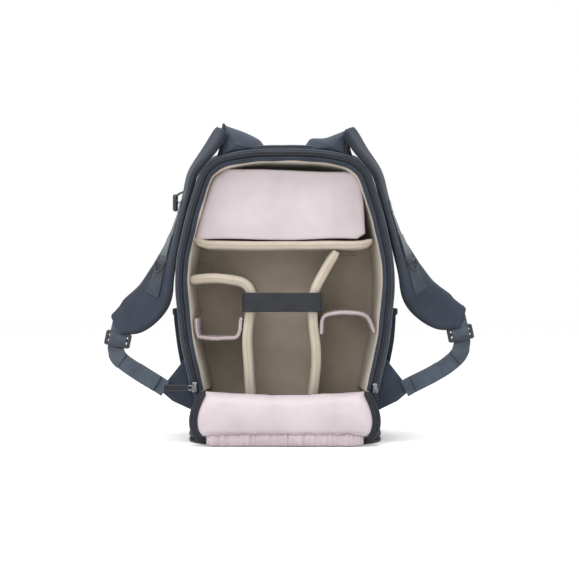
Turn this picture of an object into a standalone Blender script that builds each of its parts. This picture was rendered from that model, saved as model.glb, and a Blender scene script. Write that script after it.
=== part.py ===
"""Rear-access camera backpack, standing with its back panel unzipped, rolled forward and tucked under it.

Frame: metres, +Z up, floor at Z = 0. The opening faces -Y, the front pocket faces +Y and +X is to the right.
The back panel is modelled closed and then turned open by its two pivots.
"""

import math

import bmesh
import bpy
from mathutils import Vector

# ---------------------------------------------------------------- driving dimensions
GAP = 0.0003  # between touching pieces
FIT = 0.0008  # between curved pieces, one inside the other

# right half of the bag's outline, seen from the opening: (x, z) from the top centre round to the base centre
OUTLINE = [
    (0.0, 0.4295), (0.050, 0.4280), (0.090, 0.4205), (0.111, 0.4085), (0.1235, 0.3920), (0.139, 0.3455),
    (0.149, 0.3055), (0.1562, 0.2685), (0.158, 0.2285), (0.1545, 0.1895), (0.150, 0.1505), (0.142, 0.1115),
    (0.135, 0.0805), (0.1295, 0.0530), (0.1200, 0.0350), (0.103, 0.0282), (0.085, 0.0280), (0.045, 0.0280),
    (0.0, 0.0280),
]  # fmt: skip
RIM_Y = -0.088  # edge of the walls round the opening
WALL_BACK_Y = 0.052  # where the walls meet the front panel
WALL = 0.009  # padded outer walls
LINING = 0.007  # padded insert inside them
HINGE_Z = 0.072  # lower edge of the opening
BASE_Z = 0.028

# back panel
DOOR_MID_Y = -0.100  # middle plane of the closed panel, where both fold lines lie
DOOR_INNER = 0.009  # from that plane to the lining's face
DOOR_BOARD = (-0.008, 0.0045)  # the stiffened board's two faces, measured the same way
DOOR_PAD = -0.0165  # face of the back pads
DOOR_INSET = 0.0085  # panel outline inside the bag's outline
DOOR_LEAN = math.radians(15)  # lean of the panel's lower part when it is open
DOOR_LOWER = (HINGE_Z - DOOR_INNER) / math.cos(DOOR_LEAN)  # between the fold lines, so the rest lies flat
FOLD_RADIUS = 0.009
DOOR_OPEN = math.pi - DOOR_LEAN
DOOR_TUCK = math.pi / 2 + DOOR_LEAN
TAPE = 0.011  # zip tape along the panel's edge

# inside
INSIDE_Y = -0.066  # front edges of the dividers
INSIDE_BACK_Y = 0.0405
SHELF_Z = (0.287, 0.2985)
DIVIDER = 0.013
SMALL_DIVIDER = 0.005
STRAP_BAND = (0.193, 0.221)  # lens strap, low and high edge

# shoulder straps: (x, y, z) of the middle line, twist from edge-on in degrees, width
STRAP = [
    ((-0.0985, -0.072, 0.4520), 24, 0.044),
    ((-0.1110, -0.067, 0.4330), 20, 0.050),
    ((-0.1355, -0.060, 0.4000), 12, 0.056),
    ((-0.1455, -0.054, 0.3650), 10, 0.056),
    ((-0.1550, -0.050, 0.3300), 11, 0.056),
    ((-0.1695, -0.045, 0.2880), 22, 0.056),
    ((-0.1835, -0.043, 0.2500), 43, 0.055),
    ((-0.1985, -0.041, 0.2130), 70, 0.057),
    ((-0.2250, -0.037, 0.1880), 80, 0.054),
    ((-0.2455, -0.035, 0.1760), 82, 0.036),
]
STRAP_THICK = 0.010
# shoulder yoke: where it runs along the outline, and how far it stands out at its top and bottom
YOKE_FROM, YOKE_TO = 1.7, 6.4
YOKE_TOP, YOKE_BOTTOM = 0.0125, 0.0045
RIGHT_REACH, RIGHT_LIFT = 0.012, 0.009  # the right strap ends a little further out and up
WEBBING_WIDTH = 0.025
WEBBING_THICK = 0.0018
WING_Y = -0.064  # middle of the cloth wings
# lower webbing: (x, z) of the middle line from the buckle to the wing
LOWER_RUN = {
    "left": [(-0.2450, 0.1215), (-0.2160, 0.1030), (-0.1860, 0.0855)],
    "right": [(0.2560, 0.1260), (0.2250, 0.1040), (0.1860, 0.0850)],
}
STRAP_AXIS_TOP = {"left": (-0.100, -0.095, 0.450), "right": (0.100, -0.095, 0.450)}
DAISY_WIDTH = 0.022  # webbing sewn down the strap
BUCKLE_DROP = 0.0262  # from the strap pad's end to the ladder buckle's middle
RIDGE_Z = {"left": 0.4685, "right": 0.4600}  # top of each strap root

SLIDER_Z = {"left": 0.0835, "right": 0.0815}
SLIDER_HEIGHT = 0.0062
TAPE_LIFT = 0.002  # how far the zip tape stands in front of the walls
FRONT_FACE_Y = 0.072  # front panel's outer face
POCKET_FACE_Y = 0.095
POCKET_TOP = 0.330
FRONT_ZIP_Z = 0.352
PANEL_POCKET_TOP = 0.300  # edge of the gathered pocket on the back panel
HANDLE_Z = 0.4310
HANDLE_Y = -0.034
SIDE_POCKET_Z = (0.062, 0.195)
SIDE_POCKET_OUT = 0.0145
SIDE_POCKET_CLOTH = 0.0025
SIDE_CLIP_Z = (0.344, 0.376)
FOOT_X = 0.080
FOOT_HALF = 0.012
SIDES = {"left": -1, "right": 1}

# ---------------------------------------------------------------- scene
for old in list(bpy.data.objects):
    bpy.data.objects.remove(old, do_unlink=True)
PARTS = bpy.data.collections.new("camera_bag")
CUTTERS = bpy.data.collections.new("cutters")
bpy.context.scene.collection.children.link(PARTS)
bpy.context.scene.collection.children.link(CUTTERS)


def material(name, colour, roughness, metallic=0.0):
    mat = bpy.data.materials.new(name)
    mat.use_nodes = True
    shader = mat.node_tree.nodes["Principled BSDF"]
    shader.inputs["Base Color"].default_value = (*colour, 1.0)
    shader.inputs["Roughness"].default_value = roughness
    shader.inputs["Metallic"].default_value = metallic
    return mat


MATERIALS = {
    "navy": material("navy_fabric", (0.045, 0.055, 0.075), 0.85),
    "dark": material("dark_tape", (0.018, 0.021, 0.028), 0.8),
    "beige": material("beige_lining", (0.44, 0.36, 0.26), 0.95),
    "pink": material("pink_lining", (0.70, 0.58, 0.60), 0.7),
    "slate": material("slate_webbing", (0.09, 0.12, 0.16), 0.55),
    "mesh": material("back_mesh", (0.03, 0.036, 0.05), 0.95),
    "plastic": material("black_plastic", (0.012, 0.013, 0.015), 0.45),
    "metal": material("zip_metal", (0.35, 0.36, 0.38), 0.35, 1.0),
    "rubber": material("foot_rubber", (0.02, 0.02, 0.022), 0.9),
}


# ---------------------------------------------------------------- helpers
def finish(obj, mat, smooth_angle=35):
    for collection in list(obj.users_collection):
        collection.objects.unlink(obj)
    PARTS.objects.link(obj)
    obj.data.materials.clear()
    obj.data.materials.append(MATERIALS[mat])
    if obj.type == "MESH":
        obj.data.shade_smooth()
        obj.data.set_sharp_from_angle(angle=math.radians(smooth_angle))
    return obj


def soften(obj, width, segments=2):
    """Rounds the edges of a piece; the weld first closes a curve's loose caps."""
    weld = obj.modifiers.new("weld", "WELD")
    weld.merge_threshold = 0.00005
    bevel = obj.modifiers.new("bevel", "BEVEL")
    bevel.width = width
    bevel.segments = segments
    bevel.limit_method = "ANGLE"
    bevel.angle_limit = math.radians(40)
    return obj


def slab(name, points, y0, y1, mat, round_edge=0.0):
    """A flat piece: an outline of (x, z) points between two depths."""
    curve = bpy.data.curves.new(name, "CURVE")
    curve.dimensions = "2D"
    curve.fill_mode = "BOTH"
    curve.extrude = abs(y1 - y0) / 2
    spline = curve.splines.new("POLY")
    spline.points.add(len(points) - 1)
    for target, (x, z) in zip(spline.points, points):
        target.co = (x, z, 0.0, 1.0)
    spline.use_cyclic_u = True
    obj = bpy.data.objects.new(name, curve)
    obj.rotation_euler = (math.pi / 2, 0, 0)
    obj.location = (0, (y0 + y1) / 2, 0)
    finish(obj, mat)
    return soften(obj, round_edge) if round_edge else obj


def box(name, low, high, mat, round_edge=0.0):
    bpy.ops.mesh.primitive_cube_add(size=1)
    obj = bpy.context.object
    obj.name = name
    obj.data.name = name
    low, high = Vector(low), Vector(high)
    obj.data.transform(obj.matrix_world.Diagonal((*(high - low), 1.0)))
    obj.location = (low + high) / 2
    finish(obj, mat)
    return soften(obj, round_edge) if round_edge else obj


def slab_along_z(name, points, z0, z1, mat):
    """A flat piece: an outline of (x, y) points between two heights."""
    curve = bpy.data.curves.new(name, "CURVE")
    curve.dimensions = "2D"
    curve.fill_mode = "BOTH"
    curve.extrude = (z1 - z0) / 2
    spline = curve.splines.new("POLY")
    spline.points.add(len(points) - 1)
    for target, (x, y) in zip(spline.points, points):
        target.co = (x, y, 0.0, 1.0)
    spline.use_cyclic_u = True
    obj = bpy.data.objects.new(name, curve)
    obj.location = (0, 0, (z0 + z1) / 2)
    return finish(obj, mat)


def tube(name, points, radius, mat, resolution=2, closed=False):
    curve = bpy.data.curves.new(name, "CURVE")
    curve.dimensions = "3D"
    curve.bevel_depth = radius
    curve.bevel_resolution = resolution
    curve.use_fill_caps = not closed
    spline = curve.splines.new("POLY")
    spline.points.add(len(points) - 1)
    for target, place in zip(spline.points, points):
        target.co = (*place, 1.0)
    spline.use_cyclic_u = closed
    return finish(bpy.data.objects.new(name, curve), mat)


def catmull(p0, p1, p2, p3, t):
    """A point of the smooth curve between p1 and p2, for numbers or vectors."""
    return 0.5 * (
        p1 * 2
        + (p2 - p0) * t
        + (p0 * 2 - p1 * 5 + p2 * 4 - p3) * t * t
        + (p1 * 3 - p0 - p2 * 3 + p3) * t * t * t
    )


def through(points, per):
    """A smooth run through the given vectors, per steps between neighbours."""
    ends = [points[0] * 2 - points[1], *points, points[-1] * 2 - points[-2]]
    run = [
        catmull(*ends[i : i + 4], k / per)
        for i in range(len(points) - 1)
        for k in range(per)
    ]
    return [*run, points[-1]]


LAST = len(OUTLINE) - 1


def knot(i):
    """Outline point i of the whole closed outline; negative numbers are on the left half."""
    i = (i + LAST) % (2 * LAST) - LAST
    x, z = OUTLINE[abs(i)]
    return Vector((math.copysign(x, i), z))


def outline_point(u, inset=0.0):
    """The smooth outline at u (0 top centre, LAST base centre), moved inwards by inset."""
    i = math.floor(u)
    near = [knot(i + k) for k in (-1, 0, 1, 2)]
    here = catmull(*near, u - i)
    along = catmull(*near, u - i + 0.01) - catmull(*near, u - i - 0.01)
    inwards = Vector((along.y, -along.x)).normalized()
    return here + inwards * inset


def outline_run(u0, u1, inset, step=0.5):
    count = max(2, math.ceil((u1 - u0) / step))
    return [outline_point(u0 + (u1 - u0) * k / count, inset) for k in range(count + 1)]


def sector(name, u0, u1, insets, y0, y1, mat, step=0.5, round_edge=0.0):
    """A stretch of wall along the outline, between two insets and two depths."""
    outer = outline_run(u0, u1, insets[0], step)
    inner = outline_run(u0, u1, insets[1], step)
    return slab(name, outer + inner[::-1], y0, y1, mat, round_edge)


def sector_points(u0, u1, insets, sign):
    outer = outline_run(u0, u1, insets[0])
    inner = outline_run(u0, u1, insets[1])
    return [Vector((sign * p.x, p.y)) for p in outer + inner[::-1]]


def u_at(z, inset=0.0):
    """Where the right side of the outline, moved in by inset, is at height z (below the top corner)."""
    low, high = 3.0, 14.5
    for _ in range(40):
        middle = (low + high) / 2
        if outline_point(middle, inset).y > z:
            low = middle
        else:
            high = middle
    return low


def side_x(z, inset=0.0):
    return outline_point(u_at(z, inset), inset).x


def ribbon_outline(middle, width):
    """Both sides of a band of even width along a run of (x, z) vectors."""
    left, right = [], []
    for i, here in enumerate(middle):
        along = middle[min(i + 1, len(middle) - 1)] - middle[max(i - 1, 0)]
        across = Vector((-along.y, along.x)).normalized() * width / 2
        left.append(here + across)
        right.append(here - across)
    return left + right[::-1]


def loft(name, sections, mat):
    """A closed solid through rings of equal point count."""
    bm = bmesh.new()
    rings = [[bm.verts.new(p) for p in ring] for ring in sections]
    count = len(rings[0])
    for near, far in zip(rings, rings[1:]):
        for i in range(count):
            j = (i + 1) % count
            bm.faces.new((near[i], near[j], far[j], far[i]))
    bm.faces.new(rings[0][::-1])
    bm.faces.new(rings[-1])
    bmesh.ops.recalc_face_normals(bm, faces=bm.faces)
    mesh = bpy.data.meshes.new(name)
    bm.to_mesh(mesh)
    bm.free()
    return finish(bpy.data.objects.new(name, mesh), mat, 50)


def band_section(centre, across, out, width, thick, corner=0.35):
    """A flat eight-sided section of a strap: across is its width direction, out its outer face's."""
    w, t = width / 2, thick / 2
    c = min(t, w) * corner * 2
    corners = [
        (-w, -t + c / 2), (-w, t - c / 2), (-w + c, t), (w - c, t),
        (w, t - c / 2), (w, -t + c / 2), (w - c, -t), (-w + c, -t),
    ]  # fmt: skip
    return [centre + across * a + out * b for a, b in corners]


def as_mesh(curve_object):
    """The same piece as a mesh object with welded caps."""
    depsgraph = bpy.context.evaluated_depsgraph_get()
    mesh = bpy.data.meshes.new_from_object(curve_object.evaluated_get(depsgraph))
    bm = bmesh.new()
    bm.from_mesh(mesh)
    bmesh.ops.remove_doubles(bm, verts=bm.verts, dist=0.00002)
    bmesh.ops.recalc_face_normals(bm, faces=bm.faces)
    bm.to_mesh(mesh)
    bm.free()
    name = curve_object.name
    place = curve_object.matrix_world.copy()
    mat = curve_object.data.materials[0]
    bpy.data.objects.remove(curve_object, do_unlink=True)
    obj = bpy.data.objects.new(name, mesh)
    obj.matrix_world = place
    mesh.materials.clear()
    mesh.materials.append(mat)
    PARTS.objects.link(obj)
    return obj


def cut(body, hollow):
    bpy.context.view_layer.update()
    body = as_mesh(body)
    hollow = as_mesh(hollow)
    PARTS.objects.unlink(hollow)
    CUTTERS.objects.link(hollow)
    hollow.hide_render = True
    hollow.display_type = "WIRE"
    difference = body.modifiers.new("hollow", "BOOLEAN")
    difference.operation = "DIFFERENCE"
    difference.solver = "EXACT"
    difference.object = hollow
    return body


PLACES = {}  # where each pivot stands


def pivot(name, place, turn=0.0, parent=None):
    """An empty on a joint's axis, turned about X."""
    empty = bpy.data.objects.new(name, None)
    empty.empty_display_size = 0.02
    PARTS.objects.link(empty)
    if parent is None:
        empty.location = place
    else:
        empty.parent = parent
        empty.location = Vector(place) - PLACES[parent.name]
    empty.rotation_euler = (turn, 0, 0)
    PLACES[name] = Vector(place)
    return empty


def hang(pieces, empty):
    """Parents pieces modelled in the unturned pose to a pivot, so that they turn with it."""
    for piece in pieces:
        piece.parent = empty
        piece.location = Vector(piece.location) - PLACES[empty.name]


# ---------------------------------------------------------------- outer shell
def make_shell():
    corner = u_at(0.400)
    foot = 13.45
    for side, sign in SIDES.items():
        u0, u1 = (corner, foot) if sign > 0 else (-foot, -corner)
        sector(f"side_wall_{side}", u0 + 0.01, u1 - 0.01, (0, WALL), RIM_Y, WALL_BACK_Y, "navy")
    sector("top_wall", -corner + 0.01, corner - 0.01, (0, WALL), RIM_Y, WALL_BACK_Y, "navy")
    sector("base_wall", foot + 0.01, 2 * LAST - foot - 0.01, (0, WALL), RIM_Y, WALL_BACK_Y, "navy")
    whole = [outline_point(k / 2, 0.0) for k in range(4 * LAST)]
    slab("front_panel", whole, WALL_BACK_Y + GAP, FRONT_FACE_Y, "navy", 0.006)
    pocket = [outline_point(k / 2, 0.020) for k in range(4 * LAST)]
    pocket = [p for p in pocket if p.y < POCKET_TOP]
    slab("front_pocket", pocket, FRONT_FACE_Y + GAP, POCKET_FACE_Y, "navy", 0.008)
    # the low wall between the base and the opening's hinge line
    low = u_at(HINGE_Z, WALL + FIT)
    skirt = outline_run(low, 2 * LAST - low, WALL + FIT, 0.5)
    slab("bottom_skirt", skirt, RIM_Y, RIM_Y + 0.007, "navy")


def make_rim():
    low = u_at(HINGE_Z + 0.004)
    sector("rim_zip_tape", -low, low, (0.0012, 0.0078), RIM_Y - TAPE_LIFT, RIM_Y - GAP, "dark")
    piping = [Vector((x, RIM_Y + 0.004, z)) for x, z in outline_run(-low, low, -0.0017, 0.5)]
    tube("rim_piping", piping, 0.0014, "slate", 1)
    half = side_x(HINGE_Z) - 0.012
    bar = [Vector((x * half, DOOR_MID_Y, HINGE_Z)) for x in (-1, 1)]
    tube("door_hinge_roll", bar, FOLD_RADIUS - 0.0003, "pink", 3)


# ---------------------------------------------------------------- padded insert
def make_insert():
    deep = INSIDE_BACK_Y + 0.0003
    insets = (WALL + FIT, WALL + LINING)
    foot = u_at(HINGE_Z + 0.0015)
    sector("lining_sides", -foot, foot, insets, RIM_Y + 0.002, deep, "beige")
    floor_z = BASE_Z + WALL + GAP
    half = 0.101
    box("lining_floor", (-half, RIM_Y + 0.008, floor_z), (half, deep, floor_z + LINING), "beige", 0.002)
    wall = [outline_point(k / 2, WALL + FIT) for k in range(4 * LAST)]
    slab("lining_deep_wall", wall, deep + GAP, WALL_BACK_Y - GAP, "beige")


def make_upper_compartment():
    half_l = side_x(SHELF_Z[0], WALL + LINING) - 0.002
    half_r = half_l - 0.006
    front = INSIDE_Y - 0.004
    box("shelf", (-half_l, front, SHELF_Z[0]), (half_r, INSIDE_BACK_Y, SHELF_Z[1]), "beige", 0.0045)
    low = SHELF_Z[1] + 0.0015
    room = WALL + LINING + 0.003  # clear of the lining
    left = outline_run(u_at(0.398, room), u_at(low, room), room)
    face = [Vector((-p.x, p.y)) for p in left] + [Vector((0.117, low)), Vector((0.1060, 0.3830)),
                                                  Vector((0.0960, 0.3985))]  # fmt: skip
    flap = slab("upper_flap", face, INSIDE_Y, INSIDE_Y + 0.006, "pink", 0.002)
    hinge = pivot("upper_flap_pivot", (0, INSIDE_Y, low))
    hang([flap], hinge)


def divider_run(points):
    return through([Vector(p) for p in points], 4)


def make_dividers():
    wall_x = side_x(0.2405, WALL + LINING) - 0.003
    floor_z = BASE_Z + WALL + LINING + 0.003
    left = divider_run([
        (-0.050, floor_z + 0.0005), (-0.0545, 0.110), (-0.0565, 0.156), (-0.0525, 0.193), (-0.0500, 0.216),
        (-0.0600, 0.2345), (-0.0870, 0.2415), (-0.118, 0.2425), (-wall_x, 0.2400),
    ])  # fmt: skip
    slab("divider_left", ribbon_outline(left, DIVIDER), INSIDE_Y, INSIDE_BACK_Y, "beige")
    right = divider_run([
        (0.038, floor_z + 0.0005), (0.0445, 0.090), (0.0465, 0.130), (0.0420, 0.178), (0.0425, 0.218),
        (0.0560, 0.2480), (0.0745, 0.2790),
    ])  # fmt: skip
    slab("divider_right", ribbon_outline(right, DIVIDER), INSIDE_Y, INSIDE_BACK_Y, "beige")


def make_small_dividers():
    """The soft pink ones: a U on the left and a hood on the right; both pull out towards the opening."""
    shapes = {
        "left": [(-0.1315, 0.181), (-0.1295, 0.1590), (-0.122, 0.1545), (-0.090, 0.1540), (-0.0705, 0.1565),
                 (-0.0655, 0.181)],
        "right": [(0.0535, 0.160), (0.0555, 0.1830), (0.068, 0.1905), (0.096, 0.1915), (0.121, 0.1860),
                  (0.1325, 0.165)],
    }  # fmt: skip
    for side, points in shapes.items():
        run = through([Vector(p) for p in points], 3)
        y0 = INSIDE_Y + 0.004
        slab(f"small_divider_{side}", ribbon_outline(run, SMALL_DIVIDER), y0, INSIDE_BACK_Y - 0.004, "pink")


def make_lens_strap():
    """Webbing across the middle bay; its right end hooks round the right divider and swings off."""
    x0, x1 = -0.0630, 0.0545
    y_face = INSIDE_Y - 0.0035
    thick = 0.0025
    low, high = STRAP_BAND
    # the swinging band: an L with its short leg behind the right divider's outer face
    leg = 0.030
    outline = [
        (x0 + 0.004, y_face), (x1 - thick, y_face), (x1 - thick, y_face + leg), (x1, y_face + leg),
        (x1, y_face - thick), (x0 + 0.004, y_face - thick),
    ]  # fmt: skip
    band = slab_along_z("lens_strap", outline, low, high, "dark")
    hinge = pivot("lens_strap_pivot", (x0 + 0.001, y_face - thick / 2, (low + high) / 2))
    hang([band], hinge)
    anchor = [
        (x0 - 0.0006, y_face), (x0 + 0.0030, y_face), (x0 + 0.0030, y_face + 0.0015),
        (x0 + 0.0012, y_face + 0.0015), (x0 + 0.0012, y_face + leg), (x0 - 0.0006, y_face + leg),
    ]  # fmt: skip
    slab_along_z("lens_strap_anchor", anchor, low, high, "dark")


# ---------------------------------------------------------------- back panel
def panel_outline(z0, z1, inset):
    """The closed panel between two heights, as (x, z) points."""
    top = outline_point(0.0, inset).y
    if z1 > top - 0.001:
        u0 = u_at(z0, inset)
        return outline_run(-u0, u0, inset, 0.5)
    right = outline_run(u_at(z1, inset), u_at(z0, inset), inset, 0.5)
    return right + [Vector((-p.x, p.y)) for p in reversed(right)]


def door_slab(name, z0, z1, inset, layer, mat, round_edge=0.0):
    y0, y1 = (DOOR_MID_Y + n for n in layer)
    return slab(name, panel_outline(z0, z1, inset), y0, y1, mat, round_edge)


def make_back_panel():
    fold_z = HINGE_Z + DOOR_LOWER
    clear = -DOOR_BOARD[0] * math.tan(DOOR_TUCK / 2) + GAP  # so that the boards' outer edges don't meet
    lining = (DOOR_BOARD[1] + GAP, DOOR_INNER)
    inner = DOOR_INSET + TAPE

    # lower part, between the two fold lines
    z0, z1 = HINGE_Z + clear, fold_z - clear
    lower = [
        door_slab("door_lower_board", z0, z1, DOOR_INSET, DOOR_BOARD, "navy"),
        door_slab("door_lower_lining", z0, z1, inner + GAP, lining, "pink", 0.002),
    ]
    for side, sign in SIDES.items():
        u = [u_at(z, DOOR_INSET) for z in (z1, z0)]
        if sign < 0:
            u = [-u[1], -u[0]]
        insets = (DOOR_INSET, inner)
        y0, y1 = (DOOR_MID_Y + n for n in lining)
        lower.append(sector(f"door_lower_tape_{side}", *u, insets, y0, y1, "dark"))
    half = side_x(fold_z, DOOR_INSET) - 0.004
    roll = [Vector((x * half, DOOR_MID_Y, fold_z)) for x in (-1, 1)]
    lower.append(tube("door_fold_roll", roll, FOLD_RADIUS, "pink", 3))
    lower_pivot = pivot("door_lower_pivot", (0, DOOR_MID_Y, HINGE_Z), DOOR_OPEN)
    hang(lower, lower_pivot)

    # upper part, from the second fold line to the top
    z0 = fold_z + clear
    top = outline_point(0.0, DOOR_INSET).y
    upper = [
        door_slab("door_board", z0, top, DOOR_INSET, DOOR_BOARD, "navy"),
        door_slab("door_pocket", z0, PANEL_POCKET_TOP - GAP, inner + GAP, lining, "pink"),
        door_slab("door_lining", PANEL_POCKET_TOP, outline_point(0.0, inner).y, inner + GAP, lining, "pink"),
    ]
    u = u_at(z0, DOOR_INSET)
    y0, y1 = (DOOR_MID_Y + n for n in lining)
    upper.append(sector("door_tape", -u, u, (DOOR_INSET, inner), y0, y1, "dark"))
    y0, y1 = (DOOR_MID_Y + n for n in (DOOR_PAD, DOOR_BOARD[0] - GAP))
    for side, sign in SIDES.items():
        pad = [
            (0.016, 0.160), (0.118, 0.160), (0.123, 0.235), (0.116, 0.320), (0.092, 0.385), (0.016, 0.395),
        ]  # fmt: skip
        points = [(sign * x, z) for x, z in pad][::sign]
        upper.append(slab(f"back_pad_{side}", points, y0, y1, "mesh", 0.003))
    upper_pivot = pivot("door_upper_pivot", (0, DOOR_MID_Y, fold_z), DOOR_TUCK, lower_pivot)
    hang(upper, upper_pivot)


# ---------------------------------------------------------------- zips
def make_rim_sliders():
    for side, sign in SIDES.items():
        z = SLIDER_Z[side]
        x = sign * (side_x(z) - 0.0038)
        y1 = RIM_Y - TAPE_LIFT - GAP
        low, high = (x - 0.0028, y1 - SLIDER_HEIGHT, z - 0.0075), (x + 0.0028, y1, z + 0.0075)
        slider = box(f"zip_slider_{side}", low, high, "metal", 0.0012)
        grip_y = y1 - SLIDER_HEIGHT - GAP
        if sign < 0:
            low, high = (x - 0.044, grip_y - 0.0035, z - 0.0055), (x + 0.0020, grip_y, z + 0.0045)
        else:
            low, high = (x - 0.0035, grip_y - 0.0035, z - 0.020), (x + 0.0045, grip_y, z + 0.0030)
        grip = box(f"zip_pull_{side}", low, high, "dark", 0.0012)
        run = pivot(f"zip_slider_{side}_pivot", (x, y1, z))
        hang([slider], run)
        swing = pivot(f"zip_pull_{side}_pivot", (x, grip_y, z), 0.0, run)
        hang([grip], swing)


def make_front_slider():
    """The front pocket's slider runs along a short straight zip above the pocket."""
    z = FRONT_ZIP_Z
    half = 0.085
    y = FRONT_FACE_Y + GAP
    box("front_zip", (-half, y, z - 0.004), (half, y + 0.0015, z + 0.004), "dark")
    y += 0.0018
    shape = [
        (-0.074, z + 0.0045), (-0.074, z - 0.0045), (-0.070, z - 0.0050), (-0.070, z - 0.0180),
        (-0.064, z - 0.0180), (-0.064, z - 0.0050), (-0.060, z - 0.0045), (-0.060, z + 0.0045),
    ]  # fmt: skip
    slider = slab("front_slider", [Vector(p) for p in shape], y, y + 0.004, "metal", 0.0008)
    run = pivot("front_slider_pivot", (-0.067, y, z))
    hang([slider], run)


# ---------------------------------------------------------------- harness
def strap_frames(side, per=3):
    """Middle line, width direction, outer direction and width along one shoulder strap."""
    sign = SIDES[side]
    middle, twists, widths = [], [], []
    for i, (place, twist, width) in enumerate(STRAP):
        t = i / (len(STRAP) - 1)
        x, y, z = place
        more = t**3 if sign > 0 else 0.0
        middle.append(Vector((sign * (abs(x) + RIGHT_REACH * more), y, z + RIGHT_LIFT * more)))
        twists.append(math.radians(twist))
        widths.append(width)
    middle = through(middle, per)
    twists = through(twists, per)
    widths = through(widths, per)
    frames = []
    for i, here in enumerate(middle):
        along = middle[min(i + 1, len(middle) - 1)] - middle[max(i - 1, 0)]
        flat = Vector((along.x, 0, along.z)).normalized()
        outwards = Vector((-sign * flat.z, 0, sign * flat.x))
        across = Vector((0, 1, 0)) * math.cos(twists[i]) + outwards * math.sin(twists[i])
        face = outwards * math.cos(twists[i]) - Vector((0, 1, 0)) * math.sin(twists[i])
        frames.append((here, across, face, widths[i]))
    return frames


def make_straps():
    for side in SIDES:
        frames = strap_frames(side)
        sections = [band_section(c, a, o, w, STRAP_THICK) for c, a, o, w in frames]
        pieces = [loft(f"strap_pad_{side}", sections, "navy")]
        # flat webbing sewn down the middle of the outer face
        lift = STRAP_THICK / 2 + 0.0030 + WEBBING_THICK / 2
        stretch = frames[10:-8]
        chain = [band_section(c + o * lift, a, o, DAISY_WIDTH, WEBBING_THICK) for c, a, o, _ in stretch]
        pieces.append(loft(f"strap_webbing_{side}", chain, "slate"))
        pieces.append(make_d_ring(side, frames[17], lift))
        pieces += make_lower_webbing(side, frames[-1])
        hinge = pivot(f"strap_{side}_pivot", STRAP_AXIS_TOP[side])
        hang(pieces, hinge)


def make_d_ring(side, frame, lift):
    """A D-shaped ring hanging on the strap's webbing, flat against it."""
    centre, across, out, _ = frame
    along = across.cross(out).normalized()
    if along.z > 0:
        along = -along
    middle = centre + out * (lift + WEBBING_THICK / 2 + 0.0022)
    ring = []
    for k in range(13):
        turn = math.pi * k / 12
        ring.append(middle + across * 0.013 * math.cos(turn) + along * 0.015 * math.sin(turn))
    return tube(f"d_ring_{side}", ring, 0.0013, "plastic", 1, closed=True)


def make_lower_webbing(side, frame):
    """Ladder buckle at the strap's end, and the webbing down to the wing."""
    sign = SIDES[side]
    end, _, _, width = frame
    # the buckle and the first of the webbing lie flat towards the opening, pointing nearly straight down
    along = Vector((sign * 0.20, 0, -0.98)).normalized()
    across = Vector((-sign * along.z, 0, sign * along.x))
    out = Vector((0, -1, 0))
    centre = end + along * BUCKLE_DROP
    rings = [band_section(centre + along * d, across, out, width, 0.0075) for d in (-0.0078, 0.0078)]
    buckle = loft(f"ladder_buckle_{side}", rings, "plastic")
    first = centre + along * 0.0100
    bend = centre + along * 0.0140
    run = [bend]
    for k, (x, z) in enumerate(LOWER_RUN[side]):
        t = (k + 1) / len(LOWER_RUN[side])
        run.append(Vector((x, bend.y + (WING_Y - bend.y) * t, z)))
    run = through(run, 3)
    sections = [band_section(first, across, out, WEBBING_WIDTH, WEBBING_THICK)]
    for i, here in enumerate(run):
        step = run[min(i + 1, len(run) - 1)] - run[max(i - 1, 0)]
        wide = Vector((-step.z, 0, step.x)).normalized()
        if wide.dot(across) < 0:
            wide = -wide
        wide = across.lerp(wide, min(1.0, (i + 1) / 3)).normalized()
        face = wide.cross(step).normalized()
        if face.dot(out) < 0:
            face = -face
        sections.append(band_section(here, wide, face, WEBBING_WIDTH, WEBBING_THICK))
    webbing = loft(f"lower_webbing_{side}", sections, "slate")
    return [buckle, webbing]


def make_wings():
    """Triangles of folded fabric at the lower sides that hold the lower webbing."""
    for side, sign in SIDES.items():
        top, foot = 0.1250, 0.0420
        run = [outline_point(u_at(top) + (u_at(foot) - u_at(top)) * k / 8, -0.0008) for k in range(9)]
        tip = [Vector((0.1660, 0.0610)), Vector((0.1835, 0.0775))]
        points = [Vector((sign * p.x, p.y)) for p in run + tip]
        slab(f"wing_{side}", points[::-1] if sign < 0 else points, WING_Y - 0.003, WING_Y + 0.003, "navy")


def make_strap_roots():
    """Padded upper ends of the straps, standing up from the top of the opening as ridges."""
    for side, sign in SIDES.items():
        ridge = RIDGE_Z[side]
        base = [outline_point(u, -0.0006) for u in (2.0, 1.6, 1.2, 0.8)]
        crest = [Vector((0.036, 0.4400)), Vector((0.055, ridge - 0.0100)), Vector((0.080, ridge)),
                 Vector((0.0890, ridge - 0.002))]  # fmt: skip
        points = [Vector((sign * p.x, p.y)) for p in base + crest]
        slab(f"strap_root_{side}", points[::-1] if sign < 0 else points, -0.0815, -0.046, "navy", 0.003)
        yoke = yoke_points(sign)
        slab(f"shoulder_{side}", yoke, -0.020, 0.006, "navy", 0.003)


def yoke_points(sign, count=24):
    """The shoulder yoke's outline: fullest over the shoulder and thinner down the side."""
    outer, inner = [], []
    for k in range(count + 1):
        t = k / count
        u = YOKE_FROM + (YOKE_TO - YOKE_FROM) * t
        outer.append(outline_point(u, -YOKE_TOP * (1 - t) - YOKE_BOTTOM * t))
        inner.append(outline_point(u, -0.0006))
    return [Vector((sign * p.x, p.y)) for p in outer + inner[::-1]]


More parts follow.
